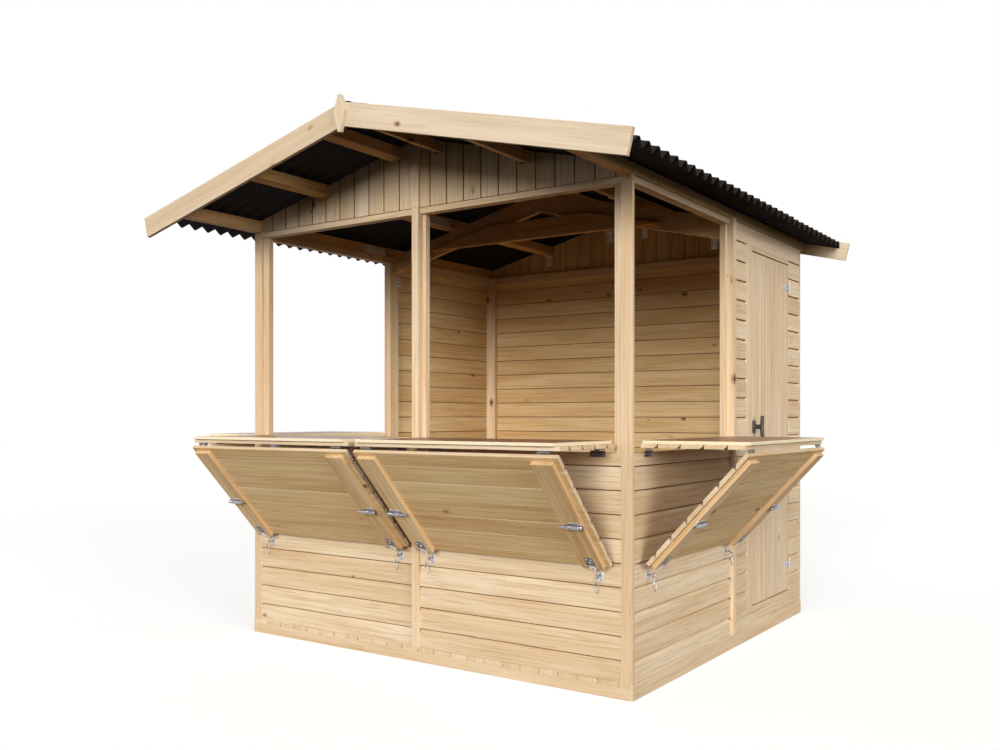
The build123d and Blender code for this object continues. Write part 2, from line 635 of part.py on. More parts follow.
def door_handle():
    w, h = HANDLE_PLATE
    x = DOOR_FACE_X
    save("door_rose", block(x, x + 6, HANDLE_Y - w / 2, HANDLE_Y + w / 2, HANDLE_Z - h / 2, HANDLE_Z + h / 2))
    spindle = rod((x + 6.3, HANDLE_Y, HANDLE_Z), (x + SPINDLE_L, HANDLE_Y, HANDLE_Z), SPINDLE_R)
    grip = block(x + SPINDLE_L, x + SPINDLE_L + GRIP_T, HANDLE_Y - GRIP_W / 2, HANDLE_Y + GRIP_W / 2,
                 HANDLE_Z - GRIP_H / 2, HANDLE_Z + GRIP_H / 2)
    save("door_handle", spindle + grip)


os.makedirs("parts", exist_ok=True)
floor()
low_walls()
back_walls()
door_wall()
gables()
studs()
rails()
strips()
roof_frame()
roof_sheets()
barges()
flaps()
door()
door_handle()
print(f"side flap w {SIDE_FLAP_W:.2f} from y {SIDE_FLAP_Y:.2f}; sill pin y {SILL_PIN_Y:.2f} z {SILL_PIN_Z:.2f}; fold pin y {FOLD_PIN_Y:.2f} z {FOLD_PIN_Z:.2f}; "
      f"fold {FOLD_DEG:.3f} deg; door pin x {DOOR_PIN_X:.2f} y {DOOR_PIN_Y:.2f}")
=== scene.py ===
import math
import random

import bmesh
import bpy
import numpy as np
from mathutils import Matrix, Vector


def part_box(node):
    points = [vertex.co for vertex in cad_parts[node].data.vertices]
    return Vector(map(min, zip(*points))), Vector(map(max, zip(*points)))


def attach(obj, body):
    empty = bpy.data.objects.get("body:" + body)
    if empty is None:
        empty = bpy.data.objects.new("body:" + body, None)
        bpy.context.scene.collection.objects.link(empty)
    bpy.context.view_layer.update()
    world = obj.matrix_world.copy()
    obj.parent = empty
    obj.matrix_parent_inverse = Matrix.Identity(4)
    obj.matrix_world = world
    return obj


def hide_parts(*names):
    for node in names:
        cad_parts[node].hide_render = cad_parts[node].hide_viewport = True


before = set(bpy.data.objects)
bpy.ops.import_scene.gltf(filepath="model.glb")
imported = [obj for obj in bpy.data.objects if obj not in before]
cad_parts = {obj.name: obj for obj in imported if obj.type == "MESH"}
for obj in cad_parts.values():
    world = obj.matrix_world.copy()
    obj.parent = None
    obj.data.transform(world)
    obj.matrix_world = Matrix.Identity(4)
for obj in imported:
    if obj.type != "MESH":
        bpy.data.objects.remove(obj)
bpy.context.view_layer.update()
chance = random.Random(11)

# ---------------------------------------------------------------- sizes, in metres
COURSE = 0.0901             # from one cladding joint to the next
FIRST_JOINT_Z = 0.1452
CLADDING_T = 0.016
REBATE_D = 0.0075           # recess along the top of each cladding board
REBATE_FLAT = 0.0095
REBATE_SLOPE = 0.0075
JOINT_GAP = 0.0026          # open joint in front of and behind the boards' tongues
EASE = 0.0012               # planed edges of the timber
GABLE_COURSE = 0.0884
DECK_COURSE = 0.0873
DOOR_COURSE = 0.0466
ROOF_SLOPE = 0.2462
ROOF_ANGLE = math.atan(ROOF_SLOPE)
WAVES = 33
WAVE_RISE = 0.030
SHEET_T = 0.003
PLATE_T = 0.002
HEADER_Z = 1.8571           # lower edge of the board over the door
SHUTTER_TURN = math.radians(132.561)
SHUTTER_L = 0.563
BOARD_T = 0.016
BATTEN_T = 0.018
KEEPER_Z = 0.4486

TONGUE_Y = (0.0088, 0.0112)  # the two sides of a cladding board's tongue
PAINTED_SHADE_EDGE = 0.0013          # how far the painted shade of a joint reaches down a board's top edge
PAINTED_SHADE_BAND = 0.0021          # and down the face of the recess
COUNTER_UNDER_Z = 0.932     # a level counter's lower face
COUNTER_OUT_Y = -0.4075     # a level counter's edges, from the wall's face
COUNTER_IN_Y = -0.005
WORKTOP_Z = (0.948, 0.960)
WORKTOP_INSET = 0.016
WORKTOP_OVERHANG = 0.014
SILL_PIN_Z = 0.928
SILL_PIN_Y = -0.005
SILL_PIN_R = 0.0035
SILL_LEAF_TOP_Z = 0.921
SILL_HINGE_W, SILL_HINGE_IN = 0.066, 0.044
FOLD_HINGE_W, FOLD_HINGE_IN = 0.052, 0.036
KNUCKLE_GAP = 0.0004
BATTEN_W, BATTEN_IN = 0.090, 0.021
HASP_IN = 0.066             # hasps and keepers, from the ends of their flap
COUNTER_FIRST, COUNTER_COURSE = 0.0710, 0.0897  # first joint, and from one to the next
SHUTTER_FIRST, SHUTTER_COURSE = 0.068, 0.0905

GABLE_JOINTS = (0.072, -0.013, -0.098)  # the three joints nearest to the middle
DECK_JOINTS = (0.965, -0.4045)  # a joint in each run of floor boards
CUT_CLEAR = 0.0005          # round a purlin where it goes through a gable
EAVE_PANEL_Z = 1.94         # wall panels that reach above this end under the eave
FREE_PURLIN_Z = 1.95        # purlins above this follow the roof's slope below too
DOUBLE_STUD_W = (0.068, 0.070)
LAP_LIFT = 0.003            # the middle roof sheet lies over the other two
HINGE_HEIGHTS = (0.286, 1.712)  # of the door

ALONG_X, ALONG_Y, ALONG_Z = Vector((1, 0, 0)), Vector((0, 1, 0)), Vector((0, 0, 1))


# ---------------------------------------------------------------- modelling by hand
def pick(*objects):
    """Only these objects selected, with the last one active."""
    bpy.ops.object.select_all(action="DESELECT")
    for obj in objects:
        obj.select_set(True)
    bpy.context.view_layer.objects.active = objects[-1]


def cube(lo, hi):
    lo, hi = Vector(lo), Vector(hi)
    bpy.ops.object.select_all(action="DESELECT")
    bpy.ops.mesh.primitive_cube_add(size=1, location=(lo + hi) / 2)
    obj = bpy.context.object
    obj.scale = [abs(a - b) for a, b in zip(lo, hi)]
    bpy.ops.object.transform_apply(location=True, rotation=True, scale=True)
    return obj


def bar(start, end, radius, tip=None, sides=20):
    """Round bar between two points, or a taper if tip gives the other end's radius."""
    start, end = Vector(start), Vector(end)
    bpy.ops.object.select_all(action="DESELECT")
    bpy.ops.mesh.primitive_cone_add(vertices=sides, radius1=radius, depth=(end - start).length,
                                    radius2=radius if tip is None else tip)
    turn = (end - start).to_track_quat("Z", "Y").to_matrix().to_4x4()
    return put(bpy.context.object, Matrix.Translation((start + end) / 2) @ turn)


def put(obj, matrix):
    """Carries the mesh by a matrix, and leaves the object itself at the origin."""
    pick(obj)
    obj.matrix_world = matrix @ obj.matrix_world
    bpy.context.view_layer.update()
    bpy.ops.object.transform_apply(location=True, rotation=True, scale=True)
    return obj


def ease(obj, width=EASE, segments=2, sharper_than=30):
    """Rounds the edges a little."""
    pick(obj)
    bevel = obj.modifiers.new("ease", "BEVEL")
    bevel.width, bevel.segments = width, segments
    bevel.limit_method, bevel.angle_limit = "ANGLE", math.radians(sharper_than)
    bpy.ops.object.modifier_apply(modifier=bevel.name)
    return obj


def smooth(obj, angle=35):
    pick(obj)
    bpy.ops.object.shade_smooth_by_angle(angle=math.radians(angle))
    return obj


def copy_of(obj, matrix=None):
    """A copy with its own mesh."""
    pick(obj)
    bpy.ops.object.duplicate(linked=False)
    made = bpy.context.object
    return put(made, matrix) if matrix else made


def drop(obj):
    bpy.data.objects.remove(obj)


def edit(obj, mode="FACE"):
    pick(obj)
    bpy.ops.object.mode_set(mode="EDIT")
    bpy.ops.mesh.select_mode(type=mode)
    bpy.ops.mesh.select_all(action="DESELECT")


def done():
    bpy.ops.object.mode_set(mode="OBJECT")


def select(obj, verts=None, faces=None, edges=None):
    """In edit mode, selects what lies where verts, faces or edges says."""
    mesh = bmesh.from_edit_mesh(obj.data)
    for vert in mesh.verts if verts else ():
        vert.select_set(bool(verts(vert.co)))
    for face in mesh.faces if faces else ():
        face.select_set(bool(faces(face.calc_center_median(), face.normal)))
    for edge in mesh.edges if edges else ():
        ends = [vert.co for vert in edge.verts]
        edge.select_set(bool(edges(*ends)))
    mesh.select_flush_mode()
    bmesh.update_edit_mesh(obj.data)


def shift(obj, verts, by):
    """Moves the points that verts picks."""
    edit(obj, "VERT")
    select(obj, verts=verts)
    bpy.ops.transform.translate(value=by)
    done()
    return obj


def bisect(obj, point, normal, clear=False):
    """Cuts the mesh at a plane. With clear, what lies on the normal's side goes and the cut is closed."""
    edit(obj)
    bpy.ops.mesh.select_all(action="SELECT")
    bpy.ops.mesh.bisect(plane_co=point, plane_no=normal, clear_outer=clear, use_fill=clear)
    done()
    return obj


def round_corners(obj, radius, axis, where=None):
    """Rounds the edges that run along an axis."""
    edit(obj, "EDGE")

    def along(a, b):
        way = b - a
        return abs(way[axis]) > 0.999 * way.length and (where is None or where((a + b) / 2))

    select(obj, edges=along)
    bpy.ops.mesh.bevel(offset=radius, segments=4)
    done()
    return obj


def subtract(obj, cutters):
    """Cuts the cutters' shapes out of obj and removes them."""
    cutter = join("cutter", cutters)
    pick(obj)
    cut = obj.modifiers.new("cut", "BOOLEAN")
    cut.operation, cut.object, cut.solver = "DIFFERENCE", cutter, "EXACT"
    bpy.ops.object.modifier_apply(modifier=cut.name)
    drop(cutter)
    return obj


def join(name, parts):
    """One object from several, at the origin."""
    pick(*parts)
    if len(parts) > 1:
        bpy.ops.object.join()
    obj = bpy.context.object
    obj.name = obj.data.name = name
    return obj


def fit(name, parts, nodes, body="stall"):
    """Joins the parts to the piece that stands for CAD nodes and rides on their body."""
    obj = join(name, parts)
    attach(obj, body)
    if nodes:
        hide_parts(*nodes)
    return obj


def moved(x=0.0, y=0.0, z=0.0):
    return Matrix.Translation((x, y, z))


def turned(degrees, axis):
    return Matrix.Rotation(math.radians(degrees), 4, axis)


# ---------------------------------------------------------------- materials
class Nodes:
    """Short hand for building a node tree."""

    def __init__(self, name):
        self.material = bpy.data.materials.new(name)
        self.material.use_nodes = True
        self.tree = self.material.node_tree
        self.shader = self.tree.nodes["Principled BSDF"]

    def add(self, kind, inputs=(), **settings):
        node = self.tree.nodes.new(kind)
        for key, value in settings.items():
            setattr(node, key, value)
        for key, value in dict(inputs).items():
            if isinstance(value, bpy.types.NodeSocket):
                self.tree.links.new(value, node.inputs[key])
            else:
                node.inputs[key].default_value = value
        return node

    def place(self):
        return self.add("ShaderNodeTexCoord").outputs["Object"]

    def math(self, operation, a, b=0.0, c=0.0):
        return self.add("ShaderNodeMath", {0: a, 1: b, 2: c}, operation=operation).outputs[0]

    def vector(self, operation, a, b=(0, 0, 0), output=0):
        return self.add("ShaderNodeVectorMath", {0: a, 1: b}, operation=operation).outputs[output]

    def over(self, color, mask, amount, tint):
        """The colour with a tint over it, where mask is and as strong as amount."""
        return self.mix(self.math("MULTIPLY", mask, amount), color, tint)

    def split(self, kind, value):
        return self.add("ShaderNodeSeparate" + kind, {0: value}).outputs

    def noise(self, where, scale, detail=3.0, roughness=0.5):
        inputs = {"Vector": where, "Scale": scale, "Detail": detail, "Roughness": roughness}
        return self.add("ShaderNodeTexNoise", inputs).outputs["Fac"]

    def ramp(self, value, low, high):
        """0 at low, 1 at high, smooth between."""
        inputs = {"Value": value, "From Min": low, "From Max": high}
        return self.add("ShaderNodeMapRange", inputs, interpolation_type="SMOOTHSTEP").outputs["Result"]

    def mix(self, amount, a, b):
        node = self.add("ShaderNodeMix", data_type="RGBA")
        for index, value in ((0, amount), (6, a), (7, b)):
            if isinstance(value, bpy.types.NodeSocket):
                self.tree.links.new(value, node.inputs[index])
            elif index:
                node.inputs[index].default_value = (*value, 1)
            else:
                node.inputs[index].default_value = value
        return node.outputs[2]

    def finish(self, color, roughness, bump=None, strength=0.3, distance=0.001, **sockets):
        for key, value in (("Base Color", color), ("Roughness", roughness)):
            if isinstance(value, bpy.types.NodeSocket):
                self.tree.links.new(value, self.shader.inputs[key])
            else:
                self.shader.inputs[key].default_value = (*value, 1) if key == "Base Color" else value
        if bump is not None:
            node = self.add("ShaderNodeBump", {"Height": bump, "Strength": strength, "Distance": distance})
            self.tree.links.new(node.outputs[0], self.shader.inputs["Normal"])
        for key, value in sockets.items():
            self.shader.inputs[key.replace("_", " ")].default_value = value
        return self.material


def srgb(r, g, b):
    """Linear colour from the usual 0 to 255 values."""
    return tuple(((v / 255 + 0.055) / 1.055) ** 2.4 if v > 10 else v / 255 / 12.92 for v in (r, g, b))


def spruce(name, light, warm, depth=1.0, knots=0.45, rings_apart=1500.0, cracks=0.0):
    """Planed spruce. The grain attribute runs along, across and through each board, in metres."""
    n = Nodes(name)
    grain = n.add("ShaderNodeAttribute", attribute_name="grain").outputs["Vector"]
    tone = n.add("ShaderNodeAttribute", attribute_name="tone").outputs["Fac"]
    # Knots: one in some cells of a coarse grid along and across the board.
    cells = n.vector("MULTIPLY", grain, (4.4, 10.0, 5.0))
    voronoi = n.add("ShaderNodeTexVoronoi", {"Vector": cells, "Scale": 1.0, "Randomness": 1.0})
    away = n.vector("SUBTRACT", cells, voronoi.outputs["Position"])
    away = n.vector("MULTIPLY", away, (0.6 / 4.4, 1 / 10.0, 0.6 / 5.0))
    ragged = n.noise(grain, 90.0, 2.0)
    away = n.vector("LENGTH", away, output="Value")
    away = n.math("ADD", away, n.math("MULTIPLY", n.math("SUBTRACT", ragged, 0.5), 0.006))
    lot = n.split("Color", voronoi.outputs["Color"])
    size = n.math("MULTIPLY", n.ramp(lot[0], knots, 1.0), 0.0088)
    inside = n.math("DIVIDE", away, n.math("ADD", size, 0.0001))
    core = n.ramp(inside, 1.0, 0.6)
    rim = n.math("MULTIPLY", n.ramp(inside, 2.3, 1.1), n.ramp(inside, 0.45, 0.9))
    halo = n.math("MULTIPLY", n.ramp(inside, 3.2, 1.0), n.ramp(lot[0], knots, knots + 0.15))
    # Growth rings about a pith line beside the board, which wander along it.
    parts = n.split("XYZ", grain)
    wander = n.noise(n.vector("MULTIPLY", grain, (1.1, 2.0, 2.0)), 1.0, 2.0)
    shift_by = n.math("MULTIPLY", n.math("SUBTRACT", wander, 0.5), 0.16)
    side = n.math("ADD", n.math("ADD", parts[1], shift_by), n.math("MULTIPLY", halo, 0.012))
    period = n.math("SUBTRACT", n.math("PINGPONG", side, 0.11), 0.055)
    deep = n.math("ADD", n.math("PINGPONG", parts[2], 0.09), 0.012)
    square = n.math("ADD", n.math("MULTIPLY", period, period), n.math("MULTIPLY", deep, deep))
    rings = n.math("SINE", n.math("MULTIPLY", n.math("SQRT", square), rings_apart))
    rings = n.math("POWER", n.math("MULTIPLY_ADD", rings, 0.5, 0.5), 3.0)
    fibre = n.noise(n.vector("MULTIPLY", grain, (5.0, 420.0, 420.0)), 1.0, 4.0, 0.6)
    streak = n.noise(n.vector("MULTIPLY", grain, (2.2, 95.0, 95.0)), 1.0, 3.0, 0.55)
    dashes = n.noise(n.vector("MULTIPLY", grain, (5.0, 170.0, 170.0)), 1.0, 1.0)
    broad = n.noise(n.vector("MULTIPLY", grain, (1.2, 14.0, 14.0)), 1.0, 2.0)
    color = n.mix(n.ramp(broad, 0.3, 0.72), light, warm)
    dark = tuple(c * k for c, k in zip(warm, (0.76, 0.63, 0.48)))
    color = n.over(color, n.ramp(streak, 0.49, 0.62), 0.36 * depth, dark)
    color = n.over(color, rings, n.math("MULTIPLY", n.ramp(broad, 0.25, 0.7), 0.32 * depth), dark)
    color = n.over(color, n.ramp(fibre, 0.35, 0.75), 0.20, dark)
    color = n.over(color, n.ramp(dashes, 0.63, 0.68), 0.26 * depth, srgb(150, 98, 56))
    pale = tuple(min(1.0, c * 1.10) for c in light)
    shade = n.mix(n.ramp(tone, 0.25, 0.75), dark, pale)
    color = n.over(color, n.math("ABSOLUTE", n.math("SUBTRACT", tone, 0.5)), 0.5, shade)
    color = n.over(color, halo, 0.22, srgb(190, 132, 76))
    color = n.over(color, rim, 0.60, srgb(120, 74, 38))
    color = n.over(color, core, 0.95, srgb(70, 42, 24))
    if cracks:
        split = n.noise(n.vector("MULTIPLY", grain, (2.6, 150.0, 150.0)), 1.0, 2.0)
        color = n.over(color, n.ramp(split, 0.70, 0.76), cracks, srgb(96, 66, 42))
    height = n.math("ADD", n.math("MULTIPLY", fibre, 0.5), n.math("MULTIPLY", rings, 0.5))
    rough = n.math("MULTIPLY_ADD", streak, 0.16, 0.50)
    return n.finish(color, rough, height, 0.25, 0.0004, Specular_IOR_Level=0.08)


def metal(name, light, dark, scale, rough, metallic=1.0):
    n = Nodes(name)
    place = n.place()
    spangle = n.add("ShaderNodeTexVoronoi", {"Vector": place, "Scale": scale}).outputs["Color"]
    spangle = n.split("Color", spangle)[0]
    dull = n.noise(place, 70.0, 3.0)
    color = n.over(light, spangle, 0.5, dark)
    color = n.over(color, n.ramp(dull, 0.45, 0.75), 0.5, dark)
    rough = n.math("MULTIPLY_ADD", dull, 0.25, rough)
    return n.finish(color, rough, dull, 0.08, 0.0003, Metallic=metallic)


def make_materials():
    made = {}
    made["cladding"] = spruce("spruce cladding", srgb(233, 213, 183), srgb(221, 195, 158), 1.15, 0.35)
    # The inner faces use a darker, warmer copy of the cladding spruce: painted shade for the inside of the
    # stall.
    made["inner"] = spruce("spruce inner face in painted shade", srgb(230, 201, 152), srgb(215, 178, 125), 1.15, 0.35)
    made["planed"] = spruce("spruce planed", srgb(232, 210, 178), srgb(222, 195, 158), 0.9, 0.55)
    # The roof frame uses a darker, warmer copy of the planed spruce: painted shade under the roof.
    made["frame"] = spruce("spruce roof frame in painted shade", srgb(220, 184, 132), srgb(204, 160, 104), 1.0, 0.50)
    made["pale_spruce"] = spruce("spruce pale planed", srgb(221, 203, 178), srgb(212, 191, 162), 0.7, 0.50)
    made["door"] = spruce("spruce door", srgb(230, 209, 180), srgb(220, 194, 160), 0.8, 0.80, 1500.0, 0.6)
    made["batten"] = spruce("spruce batten", srgb(232, 203, 160), srgb(218, 181, 132), 1.4, 0.45, 900.0)
    # Dark brown spruce for the faces inside the joints: painted shade where the boards meet.
    made["joint"] = spruce("spruce painted with joint shade", srgb(124, 88, 54), srgb(100, 69, 40), 0.5, 0.9)

    n = Nodes("brown film-faced board")
    place = n.place()
    mottle = n.noise(place, 9.0, 4.0, 0.6)
    fine = n.noise(place, 900.0, 2.0)
    color = n.mix(n.ramp(mottle, 0.3, 0.7), srgb(150, 106, 76), srgb(166, 120, 88))
    color = n.over(color, n.ramp(fine, 0.4, 0.7), 0.25, srgb(128, 88, 62))
    made["film"] = n.finish(color, n.math("MULTIPLY_ADD", mottle, 0.12, 0.30), fine, 0.10, 0.0002)

    n = Nodes("plywood edge")
    place = n.place()
    height = n.split("XYZ", place)[2]
    plies = n.math("SINE", n.math("MULTIPLY", height, 2 * math.pi / 0.0028))
    grain = n.noise(n.vector("MULTIPLY", place, (30.0, 30.0, 900.0)), 1.0, 3.0)
    color = n.mix(n.ramp(plies, -0.2, 0.9), srgb(246, 232, 202), srgb(232, 208, 166))
    color = n.over(color, n.ramp(grain, 0.45, 0.75), 0.3, srgb(196, 158, 108))
    made["plywood"] = n.finish(color, 0.6, grain, 0.15, 0.0003)

    n = Nodes("bitumen roofing")
    place = n.place()
    fibres = n.noise(n.vector("MULTIPLY", place, (60.0, 260.0, 260.0)), 1.0, 4.0, 0.65)
    patches = n.noise(place, 3.0, 3.0, 0.55)
    grit = n.noise(place, 700.0, 2.0)
    color = n.mix(n.ramp(patches, 0.3, 0.7), srgb(21, 16, 15), srgb(34, 27, 25))
    color = n.over(color, n.ramp(fibres, 0.45, 0.75), 0.45, srgb(66, 56, 54))
    bumps = n.math("ADD", n.math("MULTIPLY", fibres, 0.6), n.math("MULTIPLY", grit, 0.4))
    made["roofing"] = n.finish(color, n.math("MULTIPLY_ADD", fibres, 0.2, 0.62), bumps, 0.5, 0.0012,
                               Specular_IOR_Level=0.12)

    made["zinc"] = metal("zinc plate", srgb(222, 224, 228), srgb(176, 178, 184), 260.0, 0.24)
    # A darker grey copy of the zinc plate; on the wall leaves of the sill hinges it paints the shade under
    # the counters.
    made["dull"] = metal("zinc in grey", srgb(128, 124, 124), srgb(88, 85, 88), 260.0, 0.30)
    made["chrome"] = metal("polished chrome", srgb(178, 179, 184), srgb(72, 72, 78), 150.0, 0.12)
    made["nail"] = metal("nail head", srgb(70, 62, 56), srgb(40, 34, 30), 300.0, 0.5, 0.4)
    made["bright"] = metal("white zinc", srgb(206, 205, 208), srgb(160, 160, 168), 200.0, 0.34, 0.55)
    made["pale"] = metal("pale zinc bracket", srgb(228, 222, 210), srgb(198, 190, 178), 180.0, 0.42, 0.35)

    for name, title, light, dark in (("black", "black powder coat", srgb(62, 56, 54), srgb(40, 35, 33)),
                                     ("cap", "black nail cap", srgb(44, 38, 36), srgb(28, 24, 23))):
        n = Nodes(title)
        place = n.place()
        orange_peel = n.noise(place, 1400.0, 2.0)
        worn = n.noise(place, 120.0, 3.0)
        color = n.mix(n.ramp(worn, 0.4, 0.75), dark, light)
        made[name] = n.finish(color, n.math("MULTIPLY_ADD", worn, 0.2, 0.34), orange_peel, 0.2, 0.0002)
    return made


MATERIALS = make_materials()
MADE = {}                   # small pieces that are modelled once and copied


# ---------------------------------------------------------------- timber
def coat(obj, name):
    obj.data.materials.clear()
    obj.data.materials.append(MATERIALS[name])
    return obj


def finish_faces(obj, finish, where):
    """One more material on the object, for the faces that where picks."""
    obj.data.materials.append(MATERIALS[finish])
    edit(obj)
    select(obj, faces=where)
    obj.active_material_index = len(obj.data.materials) - 1
    bpy.ops.object.material_slot_assign()
    done()
    return obj


def lay_grain(obj, along, across=None):
    """Writes the way of the grain in each board, from a random place in the log."""
    along = Vector(along).normalized()
    across = Vector(across) if across else (ALONG_Z if abs(along.z) < 0.7 else ALONG_X)
    across = (across - along * across.dot(along)).normalized()
    through = along.cross(across)
    mesh = obj.data
    points = np.empty(len(mesh.vertices) * 3)
    mesh.vertices.foreach_get("co", points)
    points = points.reshape(-1, 3)
    start = np.array([chance.uniform(0, 40), chance.uniform(0, 9), chance.uniform(0, 9)])
    placed = np.stack([points @ np.array(way) for way in (along, across, through)], 1) + start
    for name in ("grain", "tone"):
        if name in mesh.attributes:
            mesh.attributes.remove(mesh.attributes[name])
    mesh.attributes.new("grain", "FLOAT_VECTOR", "POINT").data.foreach_set("vector", placed.ravel())
    tone = np.full(len(points), chance.random())
    mesh.attributes.new("tone", "FLOAT", "POINT").data.foreach_set("value", tone)
    return obj


def timber(lo, hi, along, finish="planed", edge=EASE, across=None):
    """Planed board between two corners, with its edges eased."""
    return coat(lay_grain(ease(cube(lo, hi), edge), along, across), finish)


def node_timbers(node, along, finish="planed"):
    """Eased boards in place of each plain box of a CAD node."""
    boards = []
    for lo, hi in boxes_of(node):
        boards.append(timber(lo, hi, along(lo, hi) if callable(along) else along, finish))
    return boards


def boxes_of(node):
    """Lowest and highest corner of each separate solid of a CAD node."""
    mesh = bmesh.new()
    mesh.from_mesh(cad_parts[node].data)
    bmesh.ops.remove_doubles(mesh, verts=mesh.verts, dist=1e-6)
    left, boxes = set(mesh.verts), []
    while left:
        stack, found = [left.pop()], []
        while stack:
            vert = stack.pop()
            found.append(vert.co.copy())
            for edge in vert.link_edges:
                other = edge.other_vert(vert)
                if other in left:
                    left.discard(other)
                    stack.append(other)
        boxes.append((Vector(map(min, *found)), Vector(map(max, *found))))
    mesh.free()
    return sorted(boxes, key=lambda b: tuple(round(v, 4) for v in (*b[0], *b[1])))


def longest(lo, hi):
    size = hi - lo
    return (ALONG_X, ALONG_Y, ALONG_Z)[max(range(3), key=lambda i: size[i])]


# ---------------------------------------------------------------- boarding
def two_faced(board, top=math.inf):
    """Pale weather side, an inner face in the darker, warmer inner spruce that paints the shade inside, and
    painted joint shade above top.
    """
    finish_faces(coat(board, "cladding"), "inner", lambda c, n: n.y > 0.5 and c.y > CLADDING_T / 2)
    # The joint finish paints shade on the top edge and on the recess face along each joint.
    return finish_faces(board, "joint", lambda c, n: c.z > top - PAINTED_SHADE_EDGE
                        or c.z > top - PAINTED_SHADE_BAND and c.y < REBATE_D + 0.0008)


def cladding_board(length, height, rebated=True, depth=REBATE_D, flat=REBATE_FLAT, slope=REBATE_SLOPE):
    """Board on the bench: X along it, Y through it from the outer face, Z up. The recess is at its top."""
    if not rebated:
        return two_faced(ease(cube((0, 0, 0), (length, CLADDING_T, height))))
    board = cube((0, 0, 0), (length, CLADDING_T, height - JOINT_GAP))
    bisect(board, (0, 0, height - flat - slope), (0, 0, 1))
    bisect(board, (0, 0, height - flat), (0, 0, 1))
    # This cut is the lower edge of the painted joint shade on the recess face.
    bisect(board, (0, 0, height - JOINT_GAP - 0.0020), (0, 0, 1))
    shift(board, lambda co: co.y < 1e-5 and co.z > height - flat - 1e-5, (0, depth, 0))
    ease(board)
    for tongue_side in TONGUE_Y:
        bisect(board, (0, tongue_side, 0), (0, 1, 0))
    edit(board)
    select(board, faces=lambda c, n: n.z > 0.9 and TONGUE_Y[0] < c.y < TONGUE_Y[1] and c.z > height / 2)
    bpy.ops.mesh.extrude_region_move(TRANSFORM_OT_translate={"value": (0, 0, JOINT_GAP + 0.0002)})
    done()
    return two_faced(board, height - JOINT_GAP)


def clad(length, z0, joints, matrix, open_top=False, **recess):
    """Boards one above the other from z0 to each joint in turn, made on the bench and carried."""
    boards, made = [], {}
    for high in joints:
        height, rebated = high - z0, open_top or high is not joints[-1]
        key = (round(height, 5), rebated)
        if key not in made:
            made[key] = cladding_board(length, height, rebated, **recess)
        board = copy_of(made[key])
        lay_grain(board, ALONG_X, ALONG_Z)
        boards.append(put(board, matrix @ moved(z=z0)))
        z0 = high
    for board in made.values():
        drop(board)
    return boards


def courses(z0, z1):
    """Heights of the joints above z0, and the top edge z1."""
    joint = FIRST_JOINT_Z + math.ceil((z0 - FIRST_JOINT_Z) / COURSE + 0.02) * COURSE
    joints = []
    while joint < z1 - 0.001:
        joints.append(joint)
        joint += COURSE
    return joints + [z1]


def wall_place(lo, hi, facing):
    """Where the bench stands for a wall panel that faces this way."""
    x, y, turn = {"front": (lo.x, lo.y, 0), "right": (hi.x, lo.y, 90),
                  "left": (lo.x, hi.y, -90), "back": (hi.x, hi.y, 180)}[facing]
    return moved(x, y) @ turned(turn, "Z")


def clad_panel(lo, hi, facing, joints=None, open_top=False):
    """Cladding in place of a wall panel, with a shadow gap under the eave."""
    if joints is None and hi.z > EAVE_PANEL_Z:
        hi = Vector((hi.x, hi.y, hi.z - JOINT_GAP))
    length = hi.x - lo.x if facing in ("front", "back") else hi.y - lo.y
    return clad(length, lo.z, joints or courses(lo.z, hi.z), wall_place(lo, hi, facing), open_top)


def make_walls():
    for node in ("front_wall", "back_wall", "side_low_walls", "left_wall_back"):
        boards = []
        for lo, hi in boxes_of(node):
            side = "right" if lo.x > 0 else "left"
            boards += clad_panel(lo, hi, {"front_wall": "front", "back_wall": "back"}.get(node, side))
        fit(node + "_boards", boards, [node])


def make_door_wall():
    """Panels beside the door, the board over it and the one under it, with the trim round the door."""
    sides = boxes_of("door_wall_sides")
    boards = []
    for lo, hi in sides:
        boards += clad_panel(lo, Vector((hi.x, hi.y, HEADER_Z)), "right", open_top=True)
    under, over = boxes_of("door_wall_over_under")
    boards += clad_panel(*under, "right", [under[1].z])
    boards += clad_panel(Vector((*over[0].xy, HEADER_Z)), over[1], "right", [over[1].z - JOINT_GAP])
    fit("door_wall_boards", boards, ["door_wall_sides", "door_wall_over_under"])
    lo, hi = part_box("door_casing")
    upright = timber(lo, (hi.x, hi.y, HEADER_Z), ALONG_Z, across=ALONG_Y)
    head = timber((lo.x, hi.y, hi.z), (hi.x, sides[1][0].y, HEADER_Z), ALONG_Y)
    fit("door_trim_boards", [upright, head], ["door_casing"])


def make_gables():
    """Upright boards, trimmed to the roof and cut round the purlins."""
    for node, turn in (("front_gable", 0), ("back_gable", 180)):
        lo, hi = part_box(node)
        half, apex = hi.x, hi.z
        face = lo.y if turn == 0 else -hi.y
        first, middle, last = GABLE_JOINTS
        joints = [first + GABLE_COURSE * i for i in range(12)] + [middle]
        joints += [last - GABLE_COURSE * i for i in range(12)]
        joints = sorted(j for j in joints if -half + 0.01 < j < half - 0.01) + [half]
        # The bench stands on its end, with its top towards +X.
        stand = Matrix(((0, 0, 1, 0), (0, 1, 0, face), (-1, 0, 0, apex + 0.01), (0, 0, 0, 1)))
        boards = clad(apex - lo.z + 0.01, -half, joints, stand, depth=0.003, flat=0.002, slope=0.003)
        for board in boards:
            for way in (1, -1):
                bisect(board, (0, 0, apex), (way * ROOF_SLOPE, 0, 1), clear=True)
            if turn:
                put(board, turned(turn, "Z"))
            reach = [vertex.co.x for vertex in board.data.vertices]
            met = [box for box in boxes_of("purlins") if box[0].x < max(reach) and box[1].x > min(reach)]
            if met:
                subtract(board, [cube((p_lo.x - CUT_CLEAR, lo.y - 0.01, p_lo.z - CUT_CLEAR),
                                      (p_hi.x + CUT_CLEAR, hi.y + 0.01, apex + 0.1)) for p_lo, p_hi in met])
        fit(node + "_boards", boards, [node])


